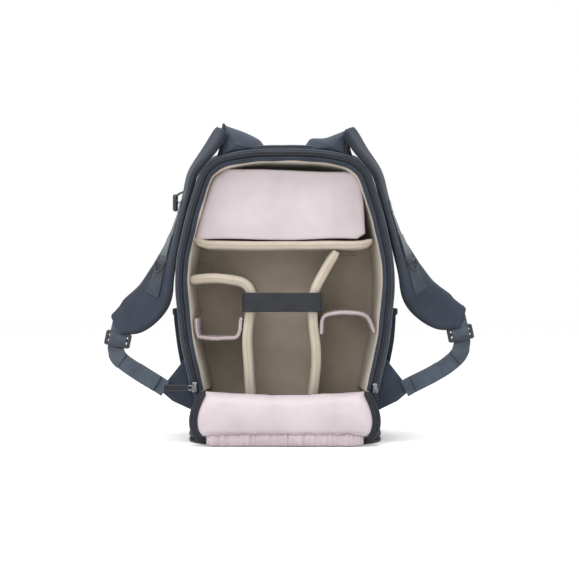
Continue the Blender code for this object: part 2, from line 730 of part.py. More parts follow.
def make_grab_handle():
    """A webbing handle on the top, folded back flat."""
    outer, inner = [], []
    for k in range(13):
        turn = math.pi * k / 12
        outer.append((0.046 * math.cos(turn), HANDLE_Y + 0.052 * math.sin(turn)))
        inner.append((0.030 * math.cos(turn), HANDLE_Y + 0.034 * math.sin(turn)))
    handle = slab_along_z("grab_handle", outer + inner[::-1], HANDLE_Z, HANDLE_Z + 0.0075, "slate")
    hinge = pivot("grab_handle_pivot", (0, HANDLE_Y, HANDLE_Z))
    hang([handle], hinge)


def make_side_pockets():
    """Open-topped pockets low on each side, behind the wings."""
    for side, sign in SIDES.items():
        u0, u1 = u_at(SIDE_POCKET_Z[1]), u_at(SIDE_POCKET_Z[0])
        cloth = SIDE_POCKET_CLOTH
        y0, y1 = -0.042, 0.044
        body = sector_points(u0, u1, (-SIDE_POCKET_OUT, -0.0004), sign)
        hollow = sector_points(u0 - 1.0, u1 - 0.35, (cloth - SIDE_POCKET_OUT, 0.004), sign)
        cut(
            slab(f"side_pocket_{side}", body, y0, y1, "navy"),
            slab(f"cutter_pocket_{side}", hollow, y0 + cloth, y1 - cloth, "dark"),
        )


def make_side_clip():
    """A strap buckle high on the left side, behind the shoulder strap."""
    low, high = SIDE_CLIP_Z
    x = -side_x(low)
    box("side_clip", (x - 0.0330, 0.009, low), (x - 0.0030, 0.028, high), "plastic", 0.003)


def make_feet():
    for side, sign in SIDES.items():
        x = sign * FOOT_X
        low, high = (x - FOOT_HALF, -0.070, BASE_Z - 0.0017), (x + FOOT_HALF, 0.040, BASE_Z - GAP)
        box(f"foot_{side}", low, high, "rubber")


MAKE = [
    make_shell, make_rim, make_insert, make_upper_compartment, make_dividers, make_small_dividers,
    make_lens_strap, make_back_panel, make_rim_sliders, make_front_slider, make_straps, make_wings,
    make_strap_roots, make_grab_handle, make_side_pockets, make_side_clip, make_feet,
]  # fmt: skip
for make in MAKE:
    make()
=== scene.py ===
# %% [markdown]
# # A camera backpack, open at the back
# The bag stands upright with its back panel unzipped, rolled forward and tucked under the base. Its straps
# spread to both sides. The frame holds the measured model: every piece below is laid on it in metres.

# %% Load the frame
import math

import bmesh
import bpy
from mathutils import Matrix, Vector, noise


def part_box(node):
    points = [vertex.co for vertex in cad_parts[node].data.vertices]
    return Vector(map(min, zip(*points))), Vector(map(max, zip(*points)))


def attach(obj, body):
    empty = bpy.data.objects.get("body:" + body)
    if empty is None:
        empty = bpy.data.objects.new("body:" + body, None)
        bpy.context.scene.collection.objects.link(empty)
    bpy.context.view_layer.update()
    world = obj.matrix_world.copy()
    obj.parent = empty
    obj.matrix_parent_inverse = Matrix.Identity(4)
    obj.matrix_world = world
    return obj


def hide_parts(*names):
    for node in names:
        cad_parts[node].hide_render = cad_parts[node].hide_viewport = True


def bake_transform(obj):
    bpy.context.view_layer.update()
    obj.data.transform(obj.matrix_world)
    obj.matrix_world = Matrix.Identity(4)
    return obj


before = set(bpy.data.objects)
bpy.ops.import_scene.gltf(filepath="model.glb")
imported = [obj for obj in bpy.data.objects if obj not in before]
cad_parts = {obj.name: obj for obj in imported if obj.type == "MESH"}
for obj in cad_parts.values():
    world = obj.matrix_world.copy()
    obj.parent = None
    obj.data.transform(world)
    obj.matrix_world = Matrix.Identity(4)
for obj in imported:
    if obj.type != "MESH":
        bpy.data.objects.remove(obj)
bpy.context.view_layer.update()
SIDES = {"left": -1, "right": 1}
TO_VIEWER = Vector((0, -1, 0))
noise.seed_set(11)  # without a seed, noise_vector starts somewhere else on every run

# %% [markdown]
# ## Camera, light and floor
# The bag is seen straight on from about two metres with a long portrait lens, so the view is nearly flat. A level
# camera keeps the uprights parallel. Big soft lamps on three sides give the even light of a light tent.

# %% Camera and studio
EYE = Vector((0.0066, -2.140, 0.226))
LENS_MM, SENSOR_MM = 87.3, 36
camera = bpy.data.objects.new("studio_camera", bpy.data.cameras.new("studio_camera"))
camera.location = EYE
camera.rotation_euler = (math.pi / 2, 0, 0)
camera.data.lens = LENS_MM
camera.data.sensor_width = SENSOR_MM
bpy.context.scene.collection.objects.link(camera)
bpy.context.scene.camera = camera


def soft_lamp(name, place, aim, size, power):
    lamp = bpy.data.objects.new(name, bpy.data.lights.new(name, "AREA"))
    lamp.data.shape = "SQUARE"
    lamp.data.size = size
    lamp.data.energy = power
    lamp.location = place
    lamp.rotation_euler = (Vector(aim) - Vector(place)).to_track_quat("-Z", "Y").to_euler()
    bpy.context.scene.collection.objects.link(lamp)


soft_lamp("lamp_front", (-0.6, -2.2, 1.3), (0, 0, 0.22), 1.4, 15)
soft_lamp("lamp_left", (-1.7, -0.6, 1.0), (0, 0, 0.25), 1.2, 8)
soft_lamp("lamp_right", (1.7, -0.6, 0.9), (0, 0, 0.25), 1.2, 5)
soft_lamp("lamp_top", (-0.1, -0.5, 1.9), (0, 0, 0.2), 1.0, 24)
world = bpy.data.worlds.new("light_tent")
world.use_nodes = True
sky = world.node_tree.nodes["Background"]
sky.inputs["Color"].default_value = (1, 1, 1, 1)
sky.inputs["Strength"].default_value = 1.0
bpy.context.scene.world = world
bpy.context.scene.view_settings.view_transform = "Standard"

floor_mesh = bpy.data.meshes.new("studio_floor")
floor_mesh.from_pydata([(-6, -4, 0), (6, -4, 0), (6, 7, 0), (-6, 7, 0)], [], [(0, 1, 2, 3)])
studio_floor = bpy.data.objects.new("studio_floor", floor_mesh)
bpy.context.scene.collection.objects.link(studio_floor)
floor_mat = bpy.data.materials.new("pale_paper")
floor_mat.use_nodes = True
paper = floor_mat.node_tree.nodes["Principled BSDF"]
paper.inputs["Base Color"].default_value = (0.98, 0.98, 0.98, 1)
paper.inputs["Roughness"].default_value = 0.9
floor_mesh.materials.append(floor_mat)

# %% [markdown]
# ## Cloth finishes
# Nylon cloth is two sets of threads crossing. Two wave patterns a thread apart, one across and one up, make the
# weave as fine bumps, and slow noise makes the dye and the nap uneven. The pattern is laid by place and not by
# unwrapping, so that it also fits pieces that change shape.

# %% Woven and brushed cloth


def new_material(name, colour, roughness, metallic=0.0, sheen=0.0):
    """A material, its shader, and two short hands: add makes a node, join links an output to an input."""
    mat = bpy.data.materials.new(name)
    mat.use_nodes = True
    nodes, links = mat.node_tree.nodes, mat.node_tree.links

    def add(kind, **values):
        node = nodes.new(f"ShaderNode{kind}")
        for key, value in values.items():
            node.inputs[key.replace("_", " ")].default_value = value
        return node

    shader = nodes["Principled BSDF"]
    shader.inputs["Base Color"].default_value = (*colour, 1)
    shader.inputs["Roughness"].default_value = roughness
    shader.inputs["Metallic"].default_value = metallic
    shader.inputs["Sheen Weight"].default_value = sheen
    shader.inputs["Sheen Roughness"].default_value = 0.45
    shader.inputs["Specular IOR Level"].default_value = 0.5 if metallic or not sheen else 0.3
    return mat, shader, add, links.new


def uneven_colour(add, join, place, dark, light, scale):
    """Slow noise, and the colour it gives between a dark and a light tone of one dye."""
    cloud = add("TexNoise", Scale=scale, Detail=6)
    ramp = add("ValToRGB")
    for element, position, colour in zip(ramp.color_ramp.elements, (0.25, 0.75), (dark, light)):
        element.position = position
        element.color = (*colour, 1)
    join(place, cloud.inputs["Vector"])
    join(cloud.outputs["Fac"], ramp.inputs["Fac"])
    return cloud, ramp


def crossed_waves(add, join, vector, pitches, **values):
    """Two wave patterns at right angles, for the threads or ribs of a cloth."""
    found = []
    for direction, pitch in zip(("X", "Y"), pitches):
        wave = add("TexWave", Scale=0.314 / pitch, **values)
        wave.bands_direction = direction
        join(vector, wave.inputs["Vector"])
        found.append(wave.outputs["Fac"])
    return found


def tinted(add, join, ramp, shade, factor, shader):
    """Darkens the dye's colour by a pattern and gives it to the shader."""
    tint = add("Mix")
    tint.data_type = "RGBA"
    tint.blend_type = "MULTIPLY"
    tint.inputs["Factor"].default_value = factor
    join(ramp.outputs["Color"], tint.inputs["A"])
    join(shade, tint.inputs["B"])
    join(tint.outputs["Result"], shader.inputs["Base Color"])


def relief_of(add, join, height, strength, distance, under=None):
    """Fine bumps from a height, laid over the bumps made before."""
    bump = add("Bump", Strength=strength, Distance=distance)
    join(height, bump.inputs["Height"])
    if under:
        join(under.outputs["Normal"], bump.inputs["Normal"])
    return bump


def shine_of(add, join, cloud, shader, low, high):
    """Slightly uneven roughness, from the same slow noise as the colour."""
    shine = add("MapRange", To_Min=low, To_Max=high)
    join(cloud.outputs["Fac"], shine.inputs["Value"])
    join(shine.outputs["Result"], shader.inputs["Roughness"])


def woven(name, dark, light, roughness, thread=0.0007, bump=0.35, sheen=0.3, nap=0.0, crease=0.0):
    """Plain woven cloth; nap adds a brushed surface and crease soft folds, both in metres of height."""
    mat, shader, add, join = new_material(name, light, roughness, sheen=sheen)
    place = add("TexCoord").outputs["Object"]
    split = add("SeparateXYZ")
    across = add("Math")
    flat = add("CombineXYZ")
    join(place, split.inputs["Vector"])
    join(split.outputs["X"], across.inputs[0])
    join(split.outputs["Y"], across.inputs[1])
    join(across.outputs["Value"], flat.inputs["X"])
    join(split.outputs["Z"], flat.inputs["Y"])
    threads = crossed_waves(add, join, flat.outputs["Vector"], (thread, thread), Distortion=0.4, Detail=1)
    weave = add("Math")
    weave.operation = "MULTIPLY"
    join(threads[0], weave.inputs[0])
    join(threads[1], weave.inputs[1])
    cloud, ramp = uneven_colour(add, join, place, dark, light, 22)
    grey = add("MapRange", To_Min=0.55, To_Max=1.15)
    join(weave.outputs["Value"], grey.inputs["Value"])
    tinted(add, join, ramp, grey.outputs["Result"], 0.35, shader)
    shine_of(add, join, cloud, shader, roughness - 0.08, min(1.0, roughness + 0.08))
    last = relief_of(add, join, weave.outputs["Value"], bump, 0.0004)
    for height, scale in ((nap, 900), (crease, 16)):
        if height:
            rough = add("TexNoise", Scale=scale, Detail=4)
            join(place, rough.inputs["Vector"])
            last = relief_of(add, join, rough.outputs["Fac"], 0.6, height, last)
    join(last.outputs["Normal"], shader.inputs["Normal"])
    return mat


def ribbed(name, dark, light, roughness, rib=0.0016, bump=0.6, sheen=0.4):
    """Webbing and zip tape: ribs across the band, laid by the strip's own unwrapping (U along, V across, metres)."""
    mat, shader, add, join = new_material(name, light, roughness, sheen=sheen)
    coords = add("TexCoord")
    waves = crossed_waves(add, join, coords.outputs["UV"], (rib, rib * 1.6), Distortion=0.3)
    weave = add("Math")
    weave.operation = "MULTIPLY_ADD"
    weave.inputs[2].default_value = 0.25
    join(waves[0], weave.inputs[0])
    join(waves[1], weave.inputs[1])
    _, ramp = uneven_colour(add, join, coords.outputs["Object"], dark, light, 60)
    tinted(add, join, ramp, weave.outputs["Value"], 0.5, shader)
    relief = relief_of(add, join, weave.outputs["Value"], bump, 0.0005)
    join(relief.outputs["Normal"], shader.inputs["Normal"])
    return mat


def moulded(name, dark, light, roughness, metallic=0.0, grain=0.00015):
    """Hard trim: fine cast or sprayed grain, a little uneven in shine."""
    mat, shader, add, join = new_material(name, light, roughness, metallic)
    place = add("TexCoord").outputs["Object"]
    cloud, ramp = uneven_colour(add, join, place, dark, light, 90)
    join(ramp.outputs["Color"], shader.inputs["Base Color"])
    shine_of(add, join, cloud, shader, roughness - 0.1, roughness + 0.1)
    speck = add("TexNoise", Scale=1400)
    join(place, speck.inputs["Vector"])
    relief = relief_of(add, join, speck.outputs["Fac"], 0.3, grain)
    join(relief.outputs["Normal"], shader.inputs["Normal"])
    return mat


NAVY = woven("navy_nylon", (0.014, 0.020, 0.032), (0.031, 0.041, 0.062), 0.75, 0.0009, 0.6, 0.05, crease=0.0014)
# a lighter copy of the navy for the pieces at the bag's top: painted light falling from above
NAVY_TOP_PAINTED_LIGHT = woven("navy_top_painted_light", (0.024, 0.032, 0.048), (0.042, 0.054, 0.076), 0.65, 0.0007, 0.5, 0.10,
             crease=0.0010)  # fmt: skip
BEIGE = woven("beige_loop_lining", (0.40, 0.345, 0.275), (0.50, 0.44, 0.36), 0.95, 0.0011, 0.3, 0.15, nap=0.0003)
PINK = woven("dusty_pink_satin", (0.435, 0.375, 0.395), (0.52, 0.46, 0.483), 0.40, 0.0006, 0.12, 0.06, crease=0.0034)
PINK_THIN = woven("pink_gathered_satin", (0.36, 0.29, 0.305), (0.48, 0.405, 0.425), 0.36, 0.0006, 0.15, 0.15,
                  crease=0.0026)  # fmt: skip
TAPE = ribbed("dark_zip_tape", (0.006, 0.008, 0.012), (0.016, 0.019, 0.027), 0.65, 0.0012, 0.6, 0.05)
WEBBING = ribbed("slate_webbing", (0.030, 0.042, 0.060), (0.062, 0.082, 0.112), 0.42, 0.0016, 0.7, 0.15)
DARK_WEBBING = ribbed("navy_webbing", (0.020, 0.027, 0.040), (0.042, 0.054, 0.076), 0.42, 0.0014, 0.8, 0.12)
BAND = ribbed("lens_band_webbing", (0.009, 0.011, 0.016), (0.020, 0.024, 0.032), 0.5, 0.0014, 0.8, 0.08)
MESH = woven("spacer_mesh", (0.008, 0.011, 0.017), (0.022, 0.028, 0.040), 0.9, 0.0024, 1.0, 0.08)
PLASTIC = moulded("black_acetal", (0.008, 0.009, 0.012), (0.020, 0.022, 0.027), 0.42)
METAL = moulded("dark_nickel", (0.13, 0.135, 0.15), (0.26, 0.27, 0.29), 0.32, 1.0)
RUBBER = moulded("foot_rubber", (0.010, 0.010, 0.011), (0.024, 0.024, 0.026), 0.85, grain=0.0003)
THREAD = moulded("navy_thread", (0.045, 0.055, 0.075), (0.085, 0.100, 0.130), 0.6)
PINK_THREAD = moulded("pink_thread", (0.36, 0.27, 0.29), (0.46, 0.36, 0.38), 0.6)
BEIGE_THREAD = moulded("beige_thread", (0.20, 0.155, 0.105), (0.27, 0.215, 0.15), 0.6)
print("finishes", len(bpy.data.materials))

# %% [markdown]
# ## The bag's outline
# Seen from the opening the bag is a barrel with a flat top. One smooth curve through a few points gives that
# outline, and moving it inwards gives each layer: wall, zip tape, lining and back panel.

# %% One outline for every layer
OUTLINE = [
    (0.0, 0.4295), (0.050, 0.4280), (0.090, 0.4205), (0.111, 0.4085), (0.1235, 0.3920), (0.139, 0.3455),
    (0.149, 0.3055), (0.1562, 0.2685), (0.158, 0.2285), (0.1545, 0.1895), (0.150, 0.1505), (0.142, 0.1115),
    (0.135, 0.0805), (0.1295, 0.0530), (0.1200, 0.0350), (0.103, 0.0282), (0.085, 0.0280), (0.045, 0.0280),
    (0.0, 0.0280),
]  # fmt: skip
LAST = len(OUTLINE) - 1
RIM_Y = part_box("side_wall_left")[0].y
WALL_BACK_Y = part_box("side_wall_left")[1].y
WALL, LINING = 0.009, 0.016
HINGE_Z = 0.072


def catmull(p0, p1, p2, p3, t):
    return 0.5 * (p1 * 2 + (p2 - p0) * t + (p0 * 2 - p1 * 5 + p2 * 4 - p3) * t * t
                  + (p1 * 3 - p0 - p2 * 3 + p3) * t * t * t)  # fmt: skip


def through(points, per):
    """A smooth run through the given places, per steps between neighbours."""
    ends = [points[0] * 2 - points[1], *points, points[-1] * 2 - points[-2]]
    run = [catmull(*ends[i : i + 4], k / per) for i in range(len(points) - 1) for k in range(per)]
    return [*run, points[-1]]


def knot(i):
    i = (i + LAST) % (2 * LAST) - LAST
    x, z = OUTLINE[abs(i)]
    return Vector((math.copysign(x, i), z))


def outline_point(u, inset=0.0):
    """The outline at u (0 top centre, LAST base centre), and the same place moved inwards."""
    i = math.floor(u)
    near = [knot(i + k) for k in (-1, 0, 1, 2)]
    along = catmull(*near, u - i + 0.01) - catmull(*near, u - i - 0.01)
    return catmull(*near, u - i) + Vector((along.y, -along.x)).normalized() * inset


def u_at(z, inset=0.0):
    low, high = 3.0, 14.5
    for _ in range(30):
        middle = (low + high) / 2
        low, high = (middle, high) if outline_point(middle, inset).y > z else (low, middle)
    return low


def side_x(z, inset=0.0):
    return outline_point(u_at(z, inset), inset).x


def whole_outline(inset, per):
    """The outline all round, with per points between its knots."""
    return [outline_point(k / per, inset) for k in range(-per * LAST, per * LAST)]


print("half width at mid height", round(side_x(0.23), 4))

# %% [markdown]
# ## Making closed cloth forms
# Almost every soft piece is a ring of points carried along a path. The ring is a rounded box that bulges a little
# between its corners, the way padding does. Slow noise moves the points by a fraction of a millimetre up to a few,
# which keeps long walls from looking turned or extruded.

# %% Helpers for closed forms


def make_piece(name, rings, mat, body, nodes=(), wrap=False, smooth=75):
    """A closed mesh through rings of equal count; wrap joins the last ring to the first. UVs are in metres."""
    bm = bmesh.new()
    uv = bm.loops.layers.uv.new("along")
    made = [[bm.verts.new(p) for p in ring] for ring in rings]
    count = len(made[0])
    length = [0.0]
    for a, b in zip(rings, rings[1:]):
        length.append(length[-1] + (Vector(b[0]) - Vector(a[0])).length)
    span = [0.0]
    for i in range(count):
        span.append(span[-1] + (Vector(rings[0][(i + 1) % count]) - Vector(rings[0][i])).length)
    last = len(made) if wrap else len(made) - 1
    for r in range(last):
        s = (r + 1) % len(made)
        for i in range(count):
            j = (i + 1) % count
            face = bm.faces.new((made[r][i], made[r][j], made[s][j], made[s][i]))
            u0 = length[r]
            u1 = length[s] if s else length[r] + 0.01
            for loop, value in zip(face.loops, ((u0, span[i]), (u0, span[i + 1]), (u1, span[i + 1]), (u1, span[i]))):
                loop[uv].uv = value
    if not wrap:
        for ring in (made[0][::-1], made[-1]):
            bm.faces.new(ring)
    bmesh.ops.recalc_face_normals(bm, faces=bm.faces)
    obj = to_object(name, bm)
    obj.data.set_sharp_from_angle(angle=math.radians(smooth))
    return dress(obj, mat, body, nodes)


def to_object(name, bm):
    mesh = bpy.data.meshes.new(name)
    bm.to_mesh(mesh)
    bm.free()
    mesh.shade_smooth()
    obj = bpy.data.objects.new(name, mesh)
    bpy.context.scene.collection.objects.link(obj)
    return obj


def dress(obj, mat, body=None, nodes=()):
    obj.data.materials.clear()
    obj.data.materials.append(mat)
    if nodes:
        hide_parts(*nodes)
    if body:
        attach(obj, body)
    return obj


def soft_box(a0, a1, b0, b1, r, puff=0.0, steps=4, sides=(3, 3)):
    """A rounded rectangle of (a, b) points whose sides bulge outwards by puff in their middle."""
    r = min(r, (a1 - a0) / 2, (b1 - b0) / 2)
    corners = [(a1 - r, b0 + r, -90), (a1 - r, b1 - r, 0), (a0 + r, b1 - r, 90), (a0 + r, b0 + r, 180)]
    loop = []
    for k, (a, b, start) in enumerate(corners):
        for s in range(steps + 1):
            turn = math.radians(start + 90 * s / steps)
            loop.append((a + r * math.cos(turn), b + r * math.sin(turn)))
        na, nb, _ = corners[(k + 1) % 4]
        end = math.radians(start + 90)
        here = (a + r * math.cos(end), b + r * math.sin(end))
        there = (na + r * math.cos(end), nb + r * math.sin(end))
        out = (math.cos(end), math.sin(end))
        extra = sides[k % 2]
        for s in range(1, extra + 1):
            t = s / (extra + 1)
            swell = puff * math.sin(math.pi * t)
            loop.append((here[0] + (there[0] - here[0]) * t + out[0] * swell,
                         here[1] + (there[1] - here[1]) * t + out[1] * swell))  # fmt: skip
    return loop


def stray(p, amount, scale, seed=0.0):
    """A place moved by smooth noise."""
    return p + noise.noise_vector(p * scale + Vector((seed, seed * 0.7, -seed))) * amount


def outline_ring(u, section, sway=0.0, scale=18, seed=0.0, sign=1):
    """One ring of (inset, y) places at u on the outline; sign -1 puts it on the left."""
    base = outline_point(u)
    inwards = outline_point(u, 1.0) - base
    ring = []
    for inset, y in section:
        p = base + inwards * inset
        ring.append(stray(Vector((sign * p.x, y, p.y)), sway, scale, seed))
    return ring


def along_outline(section, u0, u1, step=0.2, sway=0.0, scale=18, seed=0.0):
    """Rings of a (inset, y) section carried round the outline."""
    count = max(2, math.ceil((u1 - u0) / step))
    return [outline_ring(u0 + (u1 - u0) * k / count, section, sway, scale, seed) for k in range(count + 1)]


def step_at(run, i, closed=False):
    """The step from the neighbour before place i of a run to the one after."""
    if closed:
        return run[(i + 1) % len(run)] - run[i - 1]
    return run[min(i + 1, len(run) - 1)] - run[max(i - 1, 0)]


def swept(run, fixed, section, closed=False):
    """Rings of a section carried along a run; its second axis keeps the direction fixed."""
    rings = []
    for i, here in enumerate(run):
        across = step_at(run, i, closed).normalized().cross(fixed).normalized()
        rings.append([here + across * p + fixed * q for p, q in section])
    return rings


def cushion(outline, y_out, y_back, edge, dome, rings=9, sway=0.0, seed=0.0, back_dome=0.0):
    """Rings of a pillow whose rim is the outline of (x, z) points: crowned towards y_out, flatter behind."""
    middle = Vector((sum(p[0] for p in outline) / len(outline), sum(p[1] for p in outline) / len(outline)))
    reach = min((Vector(p) - middle).length for p in outline)
    toward = math.copysign(1.0, y_out - y_back)
    made = []

    def ring_at(inset, y):
        ring = []
        for p in outline:
            v = Vector(p) - middle
            scaled = middle + v * (1 - inset / reach)
            ring.append(stray(Vector((scaled.x, y, scaled.y)), sway, 14, seed))
        return ring

    half = (y_out + y_back) / 2
    depth = abs(y_out - y_back) / 2
    made.append(ring_at(reach * 0.985, y_back - toward * back_dome))
    for k in range(rings, -1, -1):
        inset = edge + (reach * 0.97 - edge) * (k / rings) ** 1.4
        rise = back_dome * math.sin(math.pi / 2 * min(1, inset / reach))
        made.append(ring_at(inset, y_back - toward * rise))
    for k in range(9):
        turn = math.pi * (k + 0.5) / 9
        made.append(ring_at(edge * (1 - math.sin(turn)), half - toward * depth * math.cos(turn)))
    for k in range(rings + 1):
        inset = edge + (reach * 0.97 - edge) * (k / rings) ** 1.4
        rise = dome * math.sin(math.pi / 2 * min(1, (inset - edge) / (reach * 0.6)))
        made.append(ring_at(inset, y_out + toward * rise))
    made.append(ring_at(reach * 0.985, y_out + toward * dome))
    return made


def stitches(name, run, normals, mat, body, pitch=0.0034, length=0.0023, thick=0.0004):
    """A line of sewing: small flattened beads along a run of places."""
    bm = bmesh.new()
    left = 0.0
    for a, b, n in zip(run, run[1:], normals):
        step = b - a
        if step.length < 1e-6:
            continue
        along = step.normalized()
        side = along.cross(n).normalized() * thick
        up = n.normalized() * thick
        at = left
        while at < step.length:
            start = a + along * at
            end = start + along * length
            ends = [bm.verts.new(start - along * 0.0002), bm.verts.new(end + along * 0.0002)]
            rings = []
            for p in (start + along * 0.0003, end - along * 0.0003):
                rings.append([bm.verts.new(p + shift) for shift in (side, up, -side, up * -0.5)])
            for i in range(4):
                j = (i + 1) % 4
                bm.faces.new((rings[0][i], rings[0][j], rings[1][j], rings[1][i]))
                bm.faces.new((ends[0], rings[0][j], rings[0][i]))
                bm.faces.new((ends[1], rings[1][i], rings[1][j]))
            at += pitch
        left = at - step.length
    bmesh.ops.recalc_face_normals(bm, faces=bm.faces)
    return dress(to_object(name, bm), mat, body)


# %% [markdown]
# ## The outer wall
# One padded gusset runs all round the bag. Its inner and outer cloths are sewn together at both edges, so it is
# fullest in the middle. The four plain solids of the frame are the same wall, and this ring stands for them.

# %% Gusset, front and pocket
gusset = soft_box(-0.0010, WALL - 0.0004, RIM_Y, WALL_BACK_Y + 0.004, 0.0040, 0.0022, 4, (9, 9))
wall_nodes = ["side_wall_left", "side_wall_right", "top_wall", "base_wall"]
rings = along_outline(gusset, -LAST, LAST, 0.15, 0.0016, 16, 3.0)[:-1]
outer_wall = make_piece("outer_wall", rings, NAVY, "bag", wall_nodes, wrap=True)

rings = cushion(whole_outline(0.0005, 4), 0.0715, WALL_BACK_Y + 0.001, 0.012, 0.0035, sway=0.0012, seed=5)
front = make_piece("front_panel_cloth", rings, NAVY, "bag", ["front_panel"])

POCKET_TOP = 0.330
pocket_line = whole_outline(0.020, 4)
pocket_line = [p if p.y < POCKET_TOP else Vector((p.x, POCKET_TOP)) for p in pocket_line]
pocket_line = [p for i, p in enumerate(pocket_line) if abs(p.x) < side_x(0.325, 0.020) or p.y < 0.325]
rings = cushion(pocket_line, 0.0950, 0.0735, 0.014, 0.0045, sway=0.0018, seed=9)
front_pocket = make_piece("front_pocket_cloth", rings, NAVY, "bag", ["front_pocket"])
print("walls done", len(outer_wall.data.vertices))


def outline_line(u0, u1, inset, y, step=0.1):
    count = max(2, math.ceil((u1 - u0) / step))
    points = [outline_point(u0 + (u1 - u0) * k / count, inset) for k in range(count + 1)]
    return [Vector((p.x, y, p.y)) for p in points]


def outwards_of(run):
    """For each step of a run near the outline, the direction away from the bag's middle."""
    return [Vector((p.x, 0, p.z - 0.23)).normalized() for p in run]


for name, y in (("gusset_seam_front", 0.046), ("gusset_seam_rim", -0.076)):
    run = outline_line(-LAST, LAST, -0.0024, y)
    stitches(name, run, outwards_of(run), THREAD, "bag")

# %% [markdown]
# ## The rim and its zip
# Round the opening the cloth ends in a thin lighter piping, then the dark tape of the zip with its row of teeth.
# The piping is one long cord under cloth. The teeth are small blocks repeated along the same outline.

# %% Piping, tape and teeth
LOW = u_at(HINGE_Z + 0.004)


def round_section(a, b, r, count=8):
    turns = [2 * math.pi * k / count for k in range(count)]
    return [(a + r * math.cos(turn), b + r * math.sin(turn)) for turn in turns]


rings = along_outline(round_section(-0.0012, RIM_Y + 0.0035, 0.0017), -LOW, LOW, 0.12)
make_piece("rim_piping_cloth", rings, WEBBING, "bag", ["rim_piping"])
tape = soft_box(0.0006, 0.0078, RIM_Y - 0.0022, RIM_Y + 0.001, 0.0009, 0.0002, 2, (2, 1))
rings = along_outline(tape, -LOW, LOW, 0.12, 0.0003, 60)
make_piece("rim_zip_tape_cloth", rings, TAPE, "bag", ["rim_zip_tape"])
binding = soft_box(0.0075, 0.0150, RIM_Y - 0.0006, RIM_Y + 0.0080, 0.0035, 0.0005, 3, (2, 2))
rings = along_outline(binding, -LOW, LOW, 0.12, 0.0010, 40, 2.0)
make_piece("rim_binding", rings, NAVY, "bag", ())


def zip_teeth(name, run, outs, body, width=0.0016, pitch=0.0017):
    """A row of small moulded teeth along a run; outs point out of the tape."""
    bm = bmesh.new()
    carry = 0.0
    for a, b, n in zip(run, run[1:], outs):
        step = b - a
        along = step.normalized()
        side = along.cross(n).normalized()
        at = carry
        while at < step.length:
            centre = a + along * at + n * 0.0005
            turn = Matrix((side * width, along * pitch * 0.6, n * 0.0010)).transposed().to_4x4()
            bmesh.ops.create_icosphere(bm, subdivisions=1, radius=0.62, matrix=Matrix.Translation(centre) @ turn)
            at += pitch
        carry = at - step.length
    return dress(to_object(name, bm), PLASTIC, body)


run = outline_line(-LOW, LOW, 0.0064, RIM_Y - 0.0022, 0.2)
zip_teeth("rim_zip_teeth", run, [TO_VIEWER] * len(run), "bag")
for name, inset in (("tape_stitch_outer", 0.0020), ("tape_stitch_inner", 0.0105)):
    run = outline_line(-LOW, LOW, inset, RIM_Y - 0.0024)
    stitches(name, run, [TO_VIEWER] * len(run), THREAD, "bag")
print("rim done")

# %% [markdown]
# ## The padded insert
# Inside, a brushed beige lining over foam covers the walls, the deep wall and the floor. It is a little slack, so it
# gets slow waves. The shelf across the top is a thicker pad with a rounded front edge.

# %% Lining, deep wall, floor and shelf
INSIDE_Y = -0.066
DEEP_Y = 0.0408
lining = soft_box(WALL, LINING, RIM_Y + 0.0035, DEEP_Y, 0.0033, 0.0006, 4, (6, 3))
# the foam thickens towards the deep wall, so the inner faces turn a little towards the opening
FOAM_GROWTH = 0.0065
for i, (a, y) in enumerate(lining):
    if a > 0.012 and y > INSIDE_Y:
        lining[i] = (a + FOAM_GROWTH * (y - INSIDE_Y) / (DEEP_Y - INSIDE_Y), y)
foot = u_at(HINGE_Z + 0.002)
rings = along_outline(lining, -foot, foot, 0.14, 0.0016, 22, 7.0)
sides = make_piece("lining_sides_cloth", rings, BEIGE, "bag", ["lining_sides"])
rings = cushion(whole_outline(WALL + 0.001, 4), DEEP_Y + 0.001, WALL_BACK_Y - 0.0005, 0.003, 0.0008,
                sway=0.0008, seed=11)  # fmt: skip
deep_wall = make_piece("deep_wall_cloth", rings, BEIGE, "bag", ["lining_deep_wall"])


def block_rings(low, high, r, puff, count=12, sway=0.0, seed=0.0, ends=0.35):
    """A padded block: a rounded (y, z) section carried along X, smaller at both ends."""
    rings = []
    for k in range(count + 1):
        t = k / count
        x = low.x + (high.x - low.x) * t
        edge = min(t, 1 - t) * (high.x - low.x)
        shrink = r * ends * (1 - math.sqrt(max(0.0, 1 - (1 - min(1, edge / r)) ** 2)))
        section = soft_box(low.y + shrink, high.y - shrink, low.z + shrink, high.z - shrink, r, puff, 4, (5, 7))
        rings.append([stray(Vector((x, y, z)), sway, 20, seed) for y, z in section])
    return rings


low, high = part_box("lining_floor")
rings = block_rings(low, high, 0.003, 0.0006, 20, 0.0006, 2)
make_piece("lining_floor_cloth", rings, BEIGE, "bag", ["lining_floor"])
low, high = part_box("shelf")
rings = block_rings(low, high, 0.0056, 0.0008, 40, 0.0014, 13)
for ring in rings:
    x = ring[0].x
    lift = 0.0060 * max(0.0, (abs(x) - 0.112) / 0.02) ** 1.5
    sag = -0.0012 * math.cos(math.pi * x / 0.27)
    for p in ring:
        p.z += lift + sag
shelf = make_piece("shelf_pad", rings, BEIGE, "bag", ["shelf"])
skirt_low, skirt_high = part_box("bottom_skirt")
rings = block_rings(skirt_low + Vector((0.002, 0.0, 0)), skirt_high - Vector((0.002, 0.0005, 0)), 0.003, 0.0006, 24,
                    0.0006, 4)  # fmt: skip
for ring in rings:
    for p in ring:
        limit = side_x(max(p.z, 0.040), WALL + 0.001)
        p.x = max(-limit, min(limit, p.x))
make_piece("bottom_skirt_cloth", rings, NAVY, "bag", ["bottom_skirt"])
print("insert done")

# %% [markdown]
# ## Upper flap
# A smooth dusty pink flap closes the compartment above the shelf. Satin over thin foam takes broad shallow creases
# and a fold along its top, so it is a low cushion whose cloth is moved by slow noise.

